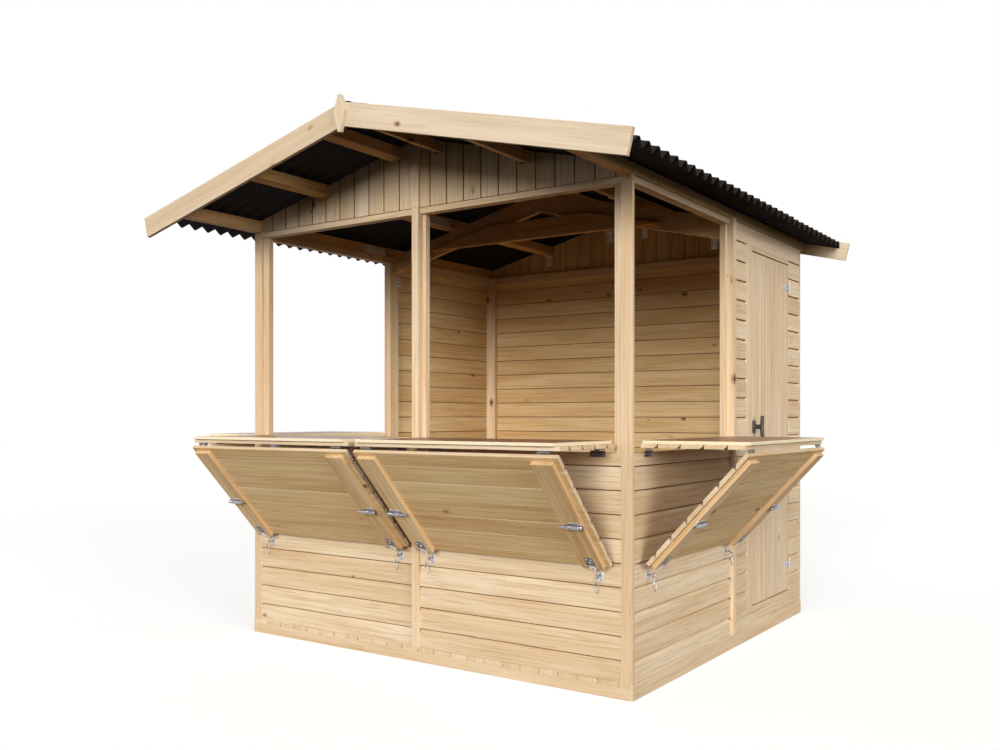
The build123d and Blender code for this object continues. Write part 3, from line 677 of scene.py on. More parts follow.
def deck_board(length, thick):
    """Floor board on the bench, X across it, with its tongue and its groove."""
    board = cube((0, 0, 0), (DECK_COURSE - 0.0016, length, thick))
    for share in (0.32, 0.44, 0.60, 0.72):
        bisect(board, (0, 0, thick * share), (0, 0, 1))

    def halfway_up(co):
        return thick * 0.43 < co.z < thick * 0.61

    shift(board, lambda co: halfway_up(co) and co.x > 0.01, (0.0068, 0, 0))
    shift(board, lambda co: halfway_up(co) and co.x < 0.001, (0.0064, 0, 0))
    coat(ease(board, 0.0006, 1), "planed")
    # The faces in the gaps between boards take the joint finish: painted shade between the boards.
    return finish_faces(board, "joint", lambda c, n: abs(n.x) > 0.5)


def make_floor():
    fit("floor_bearer_timbers", node_timbers("floor_bearers", ALONG_X), ["floor_bearers"])
    fit("floor_fascia_boards", node_timbers("floor_fascias", ALONG_Y), ["floor_fascias"])
    lo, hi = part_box("floor_deck")
    starts = [DECK_JOINTS[0] - DECK_COURSE * i for i in range(16)]
    starts += [DECK_JOINTS[1] - DECK_COURSE * i for i in range(8)]
    starts = sorted(x for x in starts if lo.x - DECK_COURSE < x < hi.x - 0.008)
    bench = deck_board(hi.y - lo.y, hi.z - lo.z)
    boards = []
    for start, end in zip(starts, starts[1:] + [hi.x]):
        board = copy_of(bench, moved(start, lo.y, lo.z))
        if start < lo.x:
            bisect(board, (lo.x, 0, 0), (-1, 0, 0), clear=True)
        if end - start < DECK_COURSE - 0.001:
            bisect(board, (end - 0.0008, 0, 0), (1, 0, 0), clear=True)
        boards.append(lay_grain(board, ALONG_Y, ALONG_X))
    drop(bench)
    fit("floor_deck_boards", boards, ["floor_deck"])


def make_frame():
    studs = []
    for lo, hi in boxes_of("wall_studs"):
        size = hi - lo
        axis = 0 if size.x > size.y else 1
        if DOUBLE_STUD_W[0] < size[axis] < DOUBLE_STUD_W[1]:
            # two panel studs side by side
            middle = (lo[axis] + hi[axis]) / 2
            for a, b in ((lo[axis], middle - 0.0004), (middle + 0.0004, hi[axis])):
                near, far = lo.copy(), hi.copy()
                near[axis], far[axis] = a, b
                studs.append(timber(near, far, ALONG_Z))
        else:
            studs.append(timber(lo, hi, ALONG_Z))
    fit("wall_stud_timbers", studs, ["wall_studs"])
    fit("wall_rail_timbers", node_timbers("wall_rails", longest), ["wall_rails"])
    for node in ("cover_strips", "corner_boards", "bay_packers"):
        fit(node + "_timber", node_timbers(node, ALONG_Z), [node])
    trims = []
    for lo, hi in boxes_of("bay_trims"):
        trims.append(timber(lo, (hi.x, hi.y, hi.z - JOINT_GAP), longest(lo, hi)))
    fit("bay_trim_boards", trims, ["bay_trims"])


# ---------------------------------------------------------------- roof
# By default the timber takes the frame spruce, whose darker colour paints the shade under the roof.
def planed(obj, along, finish="frame", across=None):
    return coat(lay_grain(ease(obj), along, across), finish)


def side_of(lo, hi):
    """1 on the right, -1 on the left, and the distances of its two sides from the middle."""
    way = 1 if lo.x + hi.x > 0 else -1
    return way, min(abs(lo.x), abs(hi.x)), max(abs(lo.x), abs(hi.x))


def make_roof_frame():
    timbers = []
    for lo, hi in boxes_of("purlins"):
        way, near, far = side_of(lo, hi)
        beam = cube(lo, hi)
        bisect(beam, (way * near, 0, hi.z), (way * ROOF_SLOPE, 0, 1), clear=True)
        if lo.z > FREE_PURLIN_Z:
            bisect(beam, (way * far, 0, lo.z), (-way * ROOF_SLOPE, 0, -1), clear=True)
        timbers.append(planed(beam, ALONG_Y))
    fit("purlin_timbers", timbers, ["purlins"])
    for node in ("rafter_left", "rafter_right"):
        lo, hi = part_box(node)
        way, _, far = side_of(lo, hi)
        beam = cube(lo, hi)
        bisect(beam, (0, 0, hi.z), (way * ROOF_SLOPE, 0, 1), clear=True)
        bisect(beam, (way * far, 0, lo.z), (-way * ROOF_SLOPE, 0, -1), clear=True)
        fit(node + "_timber", [planed(beam, (way, 0, -ROOF_SLOPE))], [node])
    lo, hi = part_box("tie_beam")
    beam = cube(lo, hi)
    for way in (1, -1):
        bisect(beam, (way * hi.x, 0, lo.z), (way * ROOF_SLOPE, 0, 1), clear=True)
    fit("tie_beam_timber", [planed(beam, ALONG_X)], ["tie_beam"])


def make_barges():
    boards, wide = [], 0.092
    for lo, hi in boxes_of("bargeboards"):
        way, near, far = side_of(lo, hi)
        top = hi.z + ROOF_SLOPE * near
        board = cube(lo, hi)
        bisect(board, (0, 0, top), (way * ROOF_SLOPE, 0, 1), clear=True)
        bisect(board, (0, 0, top - wide / math.cos(ROOF_ANGLE)), (-way * ROOF_SLOPE, 0, -1), clear=True)
        bisect(board, (way * far, 0, top - ROOF_SLOPE * far), (way, 0, -ROOF_SLOPE), clear=True)
        boards.append(planed(board, (way, 0, -ROOF_SLOPE), "pale_spruce", ALONG_Z))
    fit("bargeboard_timbers", boards, ["bargeboards"])
    plates, shoulder_z = [], 2.235
    for lo, hi in boxes_of("finials"):
        plate, tip = cube(lo, hi), 0.006
        for way in (1, -1):
            for end_z, up in ((hi.z, 1), (lo.z, -1)):
                run, rise = hi.x - tip, abs(end_z - shoulder_z)
                bisect(plate, (way * hi.x, 0, shoulder_z), (way * rise, 0, up * run), clear=True)
        plates.append(planed(plate, ALONG_Z, "pale_spruce"))
    fit("finial_plates", plates, ["finials"])


def folded_sheet(profile, length, thick):
    """Sheet on the bench, X along its folds, that goes through the profile's (y, z) points."""
    count, aside = len(profile) - 1, 10.0
    bpy.ops.object.select_all(action="DESELECT")
    bpy.ops.mesh.primitive_grid_add(x_subdivisions=1, y_subdivisions=count, size=1)
    sheet = bpy.context.object
    put(sheet, Matrix.LocRotScale((length / 2, aside + count / 2, 0), None, (length, count, 1)))
    for i, (y, z) in enumerate(profile):
        shift(sheet, lambda co: abs(co.y - aside - i) < 0.01, (0, y - aside - i, z))
    pick(sheet)
    shell = sheet.modifiers.new("thickness", "SOLIDIFY")
    shell.thickness, shell.offset = thick, 1.0
    return sheet


def roof_place(way, ridge_x):
    """Bench to roof: X down from the ridge, Y along the eave, Z out of the roof."""
    inner_lo, inner_hi = max(boxes_of("purlins"), key=lambda b: b[1].z)
    apex = inner_hi.z + ROOF_SLOPE * side_of(inner_lo, inner_hi)[1]
    down = Vector((way * math.cos(ROOF_ANGLE), 0, -math.sin(ROOF_ANGLE)))
    out = Vector((way * math.sin(ROOF_ANGLE), 0, math.cos(ROOF_ANGLE)))
    across = out.cross(down)
    place = Matrix((down, across, out)).transposed().to_4x4()
    place.translation = (way * ridge_x, 0, apex - ROOF_SLOPE * ridge_x)
    return place


def make_roof():
    lo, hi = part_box("roof_sheet_right")
    ridge_x, steps = lo.x, 16
    length = (hi.x - ridge_x - (WAVE_RISE + SHEET_T) * math.sin(ROOF_ANGLE)) / math.cos(ROOF_ANGLE)
    pitch = (hi.y - lo.y) / WAVES
    profile = []
    for i in range(steps + 1):
        share = (1 - math.cos(2 * math.pi * i / steps)) / 2
        profile.append((pitch * i / steps, WAVE_RISE * share ** 0.8))
    wave = folded_sheet(profile, length, SHEET_T)
    bpy.ops.object.modifier_remove(modifier="thickness")
    for node, way in (("roof_sheet_right", 1), ("roof_sheet_left", -1)):
        sheets = []
        for first, last, lift in ((0, 12, 0.0), (11, 23, LAP_LIFT), (22, 33, 0.0)):
            start = lo.y + first * pitch if way > 0 else -lo.y - last * pitch
            sheet = copy_of(wave)
            row = sheet.modifiers.new("waves", "ARRAY")
            row.count, row.use_relative_offset, row.use_constant_offset = last - first, False, True
            row.constant_offset_displace = (0, pitch, 0)
            row.use_merge_vertices, row.merge_threshold = True, 0.0001
            shell = sheet.modifiers.new("thickness", "SOLIDIFY")
            shell.thickness, shell.offset = SHEET_T, 1.0
            for name in ("waves", "thickness"):
                bpy.ops.object.modifier_apply(modifier=name)
            put(sheet, roof_place(way, ridge_x) @ moved(y=start, z=lift))
            sheets.append(smooth(coat(sheet, "roofing"), 40))
        fit(node + "_waves", sheets, [node])
    drop(wave)


def make_ridge_cap():
    """Rounded ridge with a flat wing on each slope."""
    lo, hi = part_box("ridge_cap")
    cap_t, bend, clear = 0.0025, 0.034, 0.004
    top = hi.z - cap_t + clear
    profile = [(-hi.x, -ROOF_SLOPE * (hi.x - bend))]
    for i in range(9):
        x = bend * (i / 4 - 1)
        profile.append((x, bend * 0.32 * (1 - (x / bend) ** 2)))
    profile.append((hi.x, -ROOF_SLOPE * (hi.x - bend)))
    cap = folded_sheet(profile, hi.y - lo.y, cap_t)
    bpy.ops.object.modifier_apply(modifier="thickness")
    crown = top - ROOF_SLOPE * bend
    # bench X goes along the ridge, and bench Y across it
    put(cap, Matrix(((0, -1, 0, 0), (1, 0, 0, lo.y), (0, 0, 1, crown), (0, 0, 0, 1))))
    smooth(coat(ease(cap, 0.0006, 1), "roofing"), 40)
    fit("ridge_cap_sheet", [cap], ["ridge_cap"])


def make_roof_nails():
    """Capped nails on the wave tops, along every purlin."""
    nail = bar((0, 0, 0), (0, 0, 0.0035), 0.010, 0.007, sides=12)
    edit(nail)
    select(nail, faces=lambda c, n: n.z > 0.9)
    bpy.ops.mesh.inset(thickness=0.003)
    bpy.ops.transform.translate(value=(0, 0, 0.0015))
    done()
    smooth(coat(nail, "cap"), 50)
    lo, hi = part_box("roof_sheet_right")
    pitch = (hi.y - lo.y) / WAVES
    nails = []
    for way in (1, -1):
        place = roof_place(way, 0)
        for b_lo, b_hi in boxes_of("purlins"):
            side, near, far = side_of(b_lo, b_hi)
            if side != way:
                continue
            down = (near + far) / 2 / math.cos(ROOF_ANGLE)
            if near < 0.11:
                down = 0.135
            for i in range(1, WAVES, 2):
                y = (lo.y + (i + 0.5) * pitch) * way
                lift = LAP_LIFT if 11 <= i < 23 else 0.0
                nails.append(copy_of(nail, place @ moved(down, y, WAVE_RISE + SHEET_T + lift)))
    drop(nail)
    fit("roof_nails", nails, [])


# ---------------------------------------------------------------- fittings
FACE_UP, FACE_OUT, FACE_DOWN, FACE_RIGHT = turned(0, "X"), turned(90, "X"), turned(180, "X"), turned(90, "Y")
SILL_SCREWS, FOLD_SCREWS = (0.010, 0.033, 0.056), (0.009, 0.026, 0.043)


def screw(place):
    """Screw head, with its recess, on the bench plane and then carried."""
    if "screw" not in MADE:
        head = bar((0, 0, -0.0004), (0, 0, 0.0011), 0.0036, 0.0027, sides=12)
        edit(head)
        select(head, faces=lambda c, n: n.z > 0.9)
        bpy.ops.mesh.inset(thickness=0.0013)
        bpy.ops.mesh.extrude_region_move(TRANSFORM_OT_translate={"value": (0, 0, -0.0009)})
        done()
        MADE["screw"] = smooth(coat(head, "chrome"), 40)
    return copy_of(MADE["screw"], place)


def screws(look, *places):
    return [screw(moved(*place) @ look) for place in places]


def steel(lo, hi, finish="zinc", radius=0.0, axis=2, where=None):
    """Pressed steel plate with its corners rounded and its edges broken."""
    plate = cube(lo, hi)
    if radius:
        round_corners(plate, radius, axis, where)
    return smooth(coat(ease(plate, 0.0004, 2), finish), 35)


def round_steel(start, end, radius, tip=None, finish="chrome", edge=0.0006):
    return smooth(coat(ease(bar(start, end, radius, tip), edge, 2, 50), finish), 50)


def barrel_bolt():
    """Bolt on the bench: along X from its outer end, with its plate on the plane z = 0."""
    parts = [steel((0.003, -0.012, 0), (0.060, 0.012, PLATE_T), "zinc", 0.004)]
    axis_z = 0.0100
    for start, end, radius, tip in ((0.000, 0.006, 0.0076, 0.0088), (0.006, 0.050, 0.0088, 0.0088),
                                    (0.0506, 0.064, 0.0093, 0.0093), (0.064, 0.070, 0.0078, 0.0072),
                                    (0.070, 0.086, 0.0072, 0.0042), (0.086, 0.099, 0.0036, 0.0026)):
        parts.append(round_steel((start, 0, axis_z), (end, 0, axis_z), radius, tip, edge=0.0008))
    return parts + screws(FACE_UP, *((x, y, PLATE_T) for x in (0.010, 0.053) for y in (-0.0095, 0.0095)))


def hasp():
    """Hasp on the bench: its pin on the Y = 0 line, the plate towards +Y and the leaf towards -Y."""
    plate = steel((-0.018, 0.0035, 0), (0.018, 0.040, PLATE_T), "dull", 0.004,
                  where=lambda c: c.y > 0.03)
    leaf = steel((-0.013, -0.034, 0.0005), (0.013, -0.0035, 0.0025), "zinc", 0.006,
                 where=lambda c: c.y < -0.02)
    slot = round_corners(cube((-0.0035, -0.028, -0.01), (0.0035, -0.012, 0.01)), 0.0030, 2)
    subtract(leaf, [slot])
    parts = [plate, leaf]
    for start, end in ((-0.018, -0.0075), (-0.007, 0.007), (0.0075, 0.018)):
        parts.append(round_steel((start, 0, 0.003), (end, 0, 0.003), 0.0036))
    return parts + screws(FACE_UP, (-0.011, 0.030, PLATE_T), (0.011, 0.030, PLATE_T), (0, 0.014, PLATE_T))


def thirds(x, width, middle):
    """Where half a hinge reaches its pin: over the middle third, or over the two outer ones."""
    third = width / 3
    if middle:
        return [(x + third, x + 2 * third)]
    return [(x, x + third - KNUCKLE_GAP), (x + 2 * third + KNUCKLE_GAP, x + width)]


def knuckles(x, y, z, width, radius, middle, finish="zinc"):
    return [round_steel((start, y, z), (end, y, z), radius, finish=finish)
            for start, end in thirds(x, width, middle)]


def sill_hinge_fixed(x):
    """Half of a sill hinge that is screwed to the wall, with its leaf folded up to the pin."""
    foot = SILL_LEAF_TOP_Z
    # The wall leaf takes the darker grey zinc: painted shade under the counter.
    parts = [steel((x, -PLATE_T, SILL_PIN_Z - 0.031), (x + SILL_HINGE_W, 0, foot), "dull", 0.004, 1,
                   lambda c: c.z < foot - 0.01)]
    for start, end in thirds(x, SILL_HINGE_W, True):
        parts.append(steel((start, -0.006, foot - PLATE_T), (end, 0, foot)))
        parts.append(steel((start, -0.006, foot - PLATE_T), (end, -0.004, SILL_PIN_Z)))
    parts += knuckles(x, SILL_PIN_Y, SILL_PIN_Z, SILL_HINGE_W, SILL_PIN_R, True)
    return parts + screws(FACE_OUT, *((x + dx, -PLATE_T, SILL_PIN_Z - 0.021) for dx in SILL_SCREWS))


def sill_hinge_moving(x):
    """Half of a sill hinge that is screwed under the counter."""
    low, under = COUNTER_UNDER_Z - PLATE_T, COUNTER_UNDER_Z
    parts = [steel((x, -0.036, low), (x + SILL_HINGE_W, -0.009, under), "zinc", 0.004, 2,
                   lambda c: c.y < -0.03)]
    for start, end in thirds(x, SILL_HINGE_W, False):
        parts.append(steel((start, -0.009, low), (end, SILL_PIN_Y, under)))
    parts += knuckles(x, SILL_PIN_Y, SILL_PIN_Z, SILL_HINGE_W, SILL_PIN_R, False)
    return parts + screws(FACE_DOWN, *((x + dx, -0.026, low) for dx in SILL_SCREWS))


def fold_hinge(x, middle, pin_y):
    """Half of a folding hinge, on the counter (middle knuckle) or level on the shutter."""
    width, under, side = FOLD_HINGE_W, COUNTER_UNDER_Z, (1 if middle else -1)
    low = under - 0.0015
    a, b = pin_y + side * 0.005, pin_y + side * 0.025
    parts = [steel((x, min(a, b), low), (x + width, max(a, b), under), "dull", 0.003, 2,
                   lambda c: abs(c.y - pin_y) > 0.02)]
    for start, end in thirds(x, width, middle):
        parts.append(steel((start, min(a, pin_y), low), (end, max(a, pin_y), under), "dull"))
    parts += knuckles(x, pin_y, under - 0.005, width, 0.0045, middle, "dull")
    return parts + screws(FACE_DOWN, *((x + dx, pin_y + side * 0.017, low) for dx in FOLD_SCREWS))


def keeper(middle):
    """Plate on the wall under a batten, with the ring that the hasp drops over."""
    plate = steel((middle - 0.012, -PLATE_T, KEEPER_Z - 0.020), (middle + 0.012, 0, KEEPER_Z + 0.020),
                  "bright", 0.0095, 1)
    parts = [plate] + screws(FACE_OUT, *((middle, -PLATE_T, KEEPER_Z + dz) for dz in (-0.014, 0.014)))
    ring_z = KEEPER_Z + 0.004
    parts.append(round_steel((middle, -0.001, ring_z), (middle, -0.005, ring_z), 0.0065))
    parts.append(round_steel((middle, -0.002, ring_z), (middle, -0.024, ring_z), 0.0024))
    bpy.ops.object.select_all(action="DESELECT")
    bpy.ops.mesh.primitive_torus_add(major_segments=24, minor_segments=8, major_radius=0.0058,
                                     minor_radius=0.0020)
    ring = put(bpy.context.object, moved(middle, -0.0275, ring_z) @ turned(90, "Y"))
    parts.append(smooth(coat(ring, "chrome"), 60))
    return parts


def snap_hook(middle):
    """Pear-shaped link that hangs from a keeper's ring, with its gate and its sleeve."""
    if "snap" not in MADE:
        bpy.ops.object.select_all(action="DESELECT")
        bpy.ops.curve.primitive_bezier_circle_add(radius=1)
        curve = bpy.context.object
        curve.scale = (0.0130, 0.0290, 1)
        bpy.ops.object.transform_apply(location=False, rotation=False, scale=True)
        for point in curve.data.splines[0].bezier_points:
            if abs(point.co.x) > 0.005:
                # the wide part of the link is high
                for end in (point.co, point.handle_left, point.handle_right):
                    end.y += 0.0085
        curve.data.resolution_u, curve.data.bevel_depth, curve.data.bevel_resolution = 10, 0.0021, 2
        bpy.ops.object.convert(target="MESH")
        link = put(bpy.context.object, turned(90, "X"))
        sleeve = round_steel((-0.0120, 0, -0.004), (-0.0078, 0, 0.012), 0.0034)
        neck = round_steel((0, 0, 0.0265), (0, 0, 0.0315), 0.0036)
        MADE["snap"] = smooth(coat(join("snap", [coat(link, "chrome"), sleeve, neck]), "chrome"), 60)
    return copy_of(MADE["snap"], moved(middle, -0.0333, KEEPER_Z + 0.002 - 0.031))


# ---------------------------------------------------------------- serving flaps
def level(y, z):
    """Bench of the boarding to a flap that lies level: the outer face looks down, the top is outwards."""
    return moved(y=y, z=z) @ turned(90, "X")


def worktop(lo, hi):
    """Film-faced plywood with its bare edges."""
    top = coat(ease(cube(lo, hi), 0.0007, 1), "plywood")
    return finish_faces(top, "film", lambda c, n: abs(n.z) > 0.9)


def make_flap(name, place, width):
    """Counter, shutter and all their fittings, drawn at the wall's face and carried to their wall."""
    pin_y, pin_z = COUNTER_OUT_Y - 0.001, COUNTER_UNDER_Z - 0.005
    start = pin_y - 0.005
    fold = moved(y=pin_y, z=pin_z) @ Matrix.Rotation(SHUTTER_TURN, 4, "X") @ moved(y=-pin_y, z=-pin_z)
    folded = place @ fold

    def carry(parts, matrix=place):
        return [put(part, matrix) for part in parts]

    def at_both_ends(inset, wide=0.0):
        return inset, width - inset - wide

    joints = [COUNTER_FIRST + COUNTER_COURSE * i for i in range(4)] + [COUNTER_IN_Y - COUNTER_OUT_Y]
    boards = clad(width, 0, joints, place @ level(COUNTER_IN_Y, COUNTER_UNDER_Z))
    fit("counter_boards_" + name, boards, ["counter_" + name], body="counter_" + name)
    top = worktop((WORKTOP_INSET, COUNTER_OUT_Y - WORKTOP_OVERHANG, WORKTOP_Z[0]),
                  (width - WORKTOP_INSET, COUNTER_IN_Y, WORKTOP_Z[1]))
    fit("worktop_board_" + name, carry([top]), ["worktop_" + name], body="counter_" + name)
    pieces = []
    for x in at_both_ends(FOLD_HINGE_IN, FOLD_HINGE_W):
        pieces += fold_hinge(x, True, pin_y)
    for x in at_both_ends(SILL_HINGE_IN, SILL_HINGE_W):
        pieces += sill_hinge_moving(x)
    fit("counter_hinges_" + name, carry(pieces), ["hinges_" + name], body="counter_" + name)

    joints = [SHUTTER_FIRST + SHUTTER_COURSE * i for i in range(6)] + [SHUTTER_L]
    boards = clad(width, 0, joints, folded @ level(start, COUNTER_UNDER_Z))
    fit("shutter_boards_" + name, boards, ["shutter_" + name], body="shutter_" + name)
    face = COUNTER_UNDER_Z + BOARD_T
    battens = []
    for x in at_both_ends(BATTEN_IN, BATTEN_W):
        batten = timber((x, start - SHUTTER_L, face), (x + BATTEN_W, start - 0.017, face + BATTEN_T), ALONG_Y,
                        "batten")
        battens.append(put(batten, folded))
    fit("batten_boards_" + name, battens, ["battens_" + name], body="shutter_" + name)
    face += BATTEN_T
    pieces = []
    far_end = moved(width) @ turned(180, "Z")
    for matrix in (moved(0.016, start - 0.320, face), far_end @ moved(0.016, 0.320 - start, face)):
        pieces += carry(barrel_bolt(), matrix)
    for x in at_both_ends(HASP_IN):
        pieces += carry(hasp(), moved(x, start - SHUTTER_L + 0.024, face))
    for x in at_both_ends(FOLD_HINGE_IN, FOLD_HINGE_W):
        pieces += fold_hinge(x, False, pin_y)
    pieces = carry(pieces, folded)
    fit("shutter_fittings_" + name, pieces, ["bolts_" + name], body="shutter_" + name)

    fixed, hooks = [], []
    for x in at_both_ends(SILL_HINGE_IN, SILL_HINGE_W):
        fixed += sill_hinge_fixed(x)
    for x in at_both_ends(HASP_IN):
        fixed += keeper(x)
        hooks.append(snap_hook(x))
    return carry(fixed), carry(hooks)


def make_flaps():
    fixed, hooks = door_hinges_fixed(), []
    for name in ("front_right", "front_left", "right_side", "left_side"):
        lo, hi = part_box("counter_" + name)
        place, width = moved(lo.x, hi.y + 0.005), hi.x - lo.x
        if name == "right_side":
            place, width = moved(lo.x - 0.005, lo.y) @ turned(90, "Z"), hi.y - lo.y
        if name == "left_side":
            place, width = moved(hi.x + 0.005, hi.y) @ turned(-90, "Z"), hi.y - lo.y
        on_wall, hanging = make_flap(name, place, width)
        fixed += on_wall
        hooks += hanging
    fit("wall_hinges_and_keepers", fixed, ["wall_fittings"])
    fit("snap_hook_links", hooks, ["snap_hooks"])


# ---------------------------------------------------------------- door


def door_pin():
    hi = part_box("door_leaf")[1]
    return hi.x + 0.006, hi.y + 0.0025


def door_hinges_fixed():
    """Upright plates of the T hinges, on the wall beside the door."""
    pin_x, pin_y = door_pin()
    face, parts = pin_x - 0.004, []
    for z in HINGE_HEIGHTS:
        low, high = z - 0.030, z + 0.030
        parts.append(steel((face, pin_y + 0.005, low), (face + PLATE_T, pin_y + 0.016, high), "bright",
                           0.003, 0, lambda c: c.y > pin_y + 0.012))
        for z0, z1 in ((low, z - 0.0104), (z + 0.0104, high)):
            parts.append(steel((face, pin_y + 0.003, z0), (pin_x, pin_y + 0.005, z1), "bright"))
            parts.append(steel((pin_x - PLATE_T, pin_y, z0), (pin_x, pin_y + 0.005, z1), "bright"))
            parts.append(round_steel((pin_x, pin_y, z0), (pin_x, pin_y, z1), 0.0035, finish="bright"))
            parts += screws(FACE_RIGHT, (face + PLATE_T, pin_y + 0.0105, (z0 + z1) / 2))
    return parts


def hinge_strap(face, pin_x, pin_y, edge_y, z):
    """Tapered strap of a T hinge, on the door."""
    strap = steel((face, pin_y - 0.092, z - 0.0125), (face + 0.0025, edge_y, z + 0.0125), "bright", 0)
    for way in (1, -1):
        bisect(strap, (0, pin_y - 0.092, z + way * 0.0075), (0, -0.10, way * 2), clear=True)
    round_corners(strap, 0.004, 0, lambda c: c.y < pin_y - 0.08)
    parts = [smooth(strap, 30)]
    parts.append(steel((face, edge_y - PLATE_T, z - 0.010), (pin_x, edge_y, z + 0.010), "bright"))
    parts.append(steel((pin_x - PLATE_T, edge_y - PLATE_T, z - 0.010), (pin_x, pin_y, z + 0.010), "bright"))
    parts.append(round_steel((pin_x, pin_y, z - 0.010), (pin_x, pin_y, z + 0.010), 0.0035, finish="bright"))
    return parts + screws(FACE_RIGHT, *((face + 0.0025, pin_y - y, z) for y in (0.080, 0.052, 0.024)))


def door_board(length):
    """Door board on the bench, X along it, Y through it, Z up, with a bead along its middle."""
    width, thick, bead = 2 * DOOR_COURSE, 0.016, 0.0022
    board = cube((0, 0, 0), (length, thick, width - 0.0008))
    middle = width / 2
    for offset in (-bead, 0, bead):
        bisect(board, (0, 0, middle + offset), (0, 0, 1))
    shift(board, lambda co: co.y < 1e-5 and abs(co.z - middle) < 1e-4, (0, 0.0026, 0))
    return coat(ease(board, 0.0016, 2, 60), "door")


def make_door():
    lo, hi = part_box("door_leaf")
    bench = door_board(hi.z - lo.z)
    # the bench board stands on its end, with its outer face to the right
    boards, y, wide = [], lo.y + 0.0162 - DOOR_COURSE, 2 * DOOR_COURSE
    while y < hi.y - 0.01:
        stand = Matrix(((0, -1, 0, hi.x), (0, 0, 1, y), (-1, 0, 0, hi.z), (0, 0, 0, 1)))
        board = copy_of(bench, stand)
        if y < lo.y:
            bisect(board, (0, lo.y, 0), (0, -1, 0), clear=True)
        if y + wide > hi.y:
            bisect(board, (0, hi.y, 0), (0, 1, 0), clear=True)
        boards.append(lay_grain(board, ALONG_Z, ALONG_Y))
        y += wide
    drop(bench)
    fit("door_leaf_boards", boards, ["door_leaf"], body="door")
    fit("door_ledge_boards", node_timbers("door_ledges", ALONG_Y), ["door_ledges"], body="door")
    pin_x, pin_y = door_pin()
    straps = []
    for z in HINGE_HEIGHTS:
        straps += hinge_strap(hi.x, pin_x, pin_y, hi.y, z)
    fit("door_strap_plates", straps, ["door_hinge_straps"], body="door")

    lo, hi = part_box("door_rose")
    y, z = (lo.y + hi.y) / 2, (lo.z + hi.z) / 2
    half, face = 0.030, hi.x + 0.004
    rose = round_corners(cube((lo.x, lo.y - 0.001, z - half), (face, hi.y + 0.001, z + half)), 0.009, 0)
    parts = [smooth(coat(ease(rose, 0.0030, 3), "black"), 40)]
    parts += screws(FACE_RIGHT, (face, y, z - 0.021), (face, y, z + 0.021))
    fit("door_rose_plate", parts, ["door_rose"], body="door")
    x = face + 0.0003
    lo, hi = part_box("door_handle")
    shank = []
    for start, end, radius, tip in ((x, x + 0.007, 0.0148, 0.0108), (x + 0.007, hi.x - 0.018, 0.0108, 0.0104),
                                    (hi.x - 0.020, hi.x - 0.008, 0.0104, 0.0150)):
        shank.append(bar((start, y, z), (end, y, z), radius, tip))
    grip = bar((hi.x - 0.0080, y, lo.z), (hi.x - 0.0080, y, hi.z), 0.0088, sides=24)
    height = hi.z - lo.z
    swells = ((0.12, 1.25, 0.0010), (0.3, 1.10, -0.0008), (0.5, 1.35, -0.0020), (0.7, 1.10, -0.0008),
              (0.88, 1.25, 0.0010))
    for share, wide, out in swells:
        bisect(grip, (0, 0, lo.z + height * share), (0, 0, 1))
    for share, wide, out in swells:
        edit(grip, "VERT")
        select(grip, verts=lambda co: abs(co.z - lo.z - height * share) < 1e-4)
        bpy.ops.transform.resize(value=(1, wide, 1), center_override=(hi.x - 0.0080, y, z))
        bpy.ops.transform.translate(value=(out, 0, 0))
        done()
    ease(grip, 0.0035, 3, 50)
    parts = [smooth(coat(part, "black"), 50) for part in [ease(s, 0.0008, 2, 50) for s in shank] + [grip]]
    fit("door_handle_grip", parts, ["door_handle"], body="door_grip")


# ---------------------------------------------------------------- plates and brackets of the roof frame
def punched(plate, holes, axis):
    """Round holes through a plate at the given places, with a nail head in each."""
    cutters = []
    for place in holes:
        reach = Vector([0.02 if i == axis else 0 for i in range(3)])
        cutters.append(bar(Vector(place) - reach, Vector(place) + reach, 0.0036, sides=8))
    subtract(plate, cutters)
    half = Vector([PLATE_T * 0.4 if i == axis else 0 for i in range(3)])
    middle = sum((Vector(corner) for corner in plate.bound_box), Vector()) / 8
    heads = []
    for place in holes:
        place = Vector(place)
        place[axis] = middle[axis]
        heads.append(coat(bar(place - half, place + half, 0.0031, sides=8), "nail"))
    return join("punched_plate", [plate] + heads)


def splice_plate(face_x, way, y0, y1, z0, z1):
    """Punched plate on a purlin's inner side."""
    x0, x1 = sorted((face_x, face_x - way * PLATE_T))
    plate = steel((x0, y0, z0), (x1, y1, z1), "pale", 0.002, 0)
    holes = [(face_x, y0 + (y1 - y0) * (i + 0.5) / 6 + aside, z0 + (z1 - z0) * share)
             for i in range(6) for share, aside in ((0.27, -0.006), (0.73, 0.006))]
    return punched(plate, holes, 0)


def angle_bracket(x, wall_y, way_y, z, wide=0.040, leg=0.062):
    """Bent bracket under a purlin, on the inner side of a wall: way_y points from the wall inwards."""
    y_in, y_leg = wall_y + way_y * PLATE_T, wall_y + way_y * leg
    left, right = x - wide / 2, x + wide / 2
    grid = [(dx, far) for dx in (-0.011, 0.011) for far in (0.020, 0.034, 0.048)]
    upright = steel((left, min(wall_y, y_in), z - leg), (right, max(wall_y, y_in), z), "pale", 0.003, 1)
    upright = punched(upright, [(x + dx, wall_y, z - far) for dx, far in grid], 1)
    flat = steel((left, min(wall_y, y_leg), z - PLATE_T), (right, max(wall_y, y_leg), z), "pale", 0.003, 2)
    return [upright, punched(flat, [(x + dx, wall_y + way_y * far, z) for dx, far in grid], 2)]


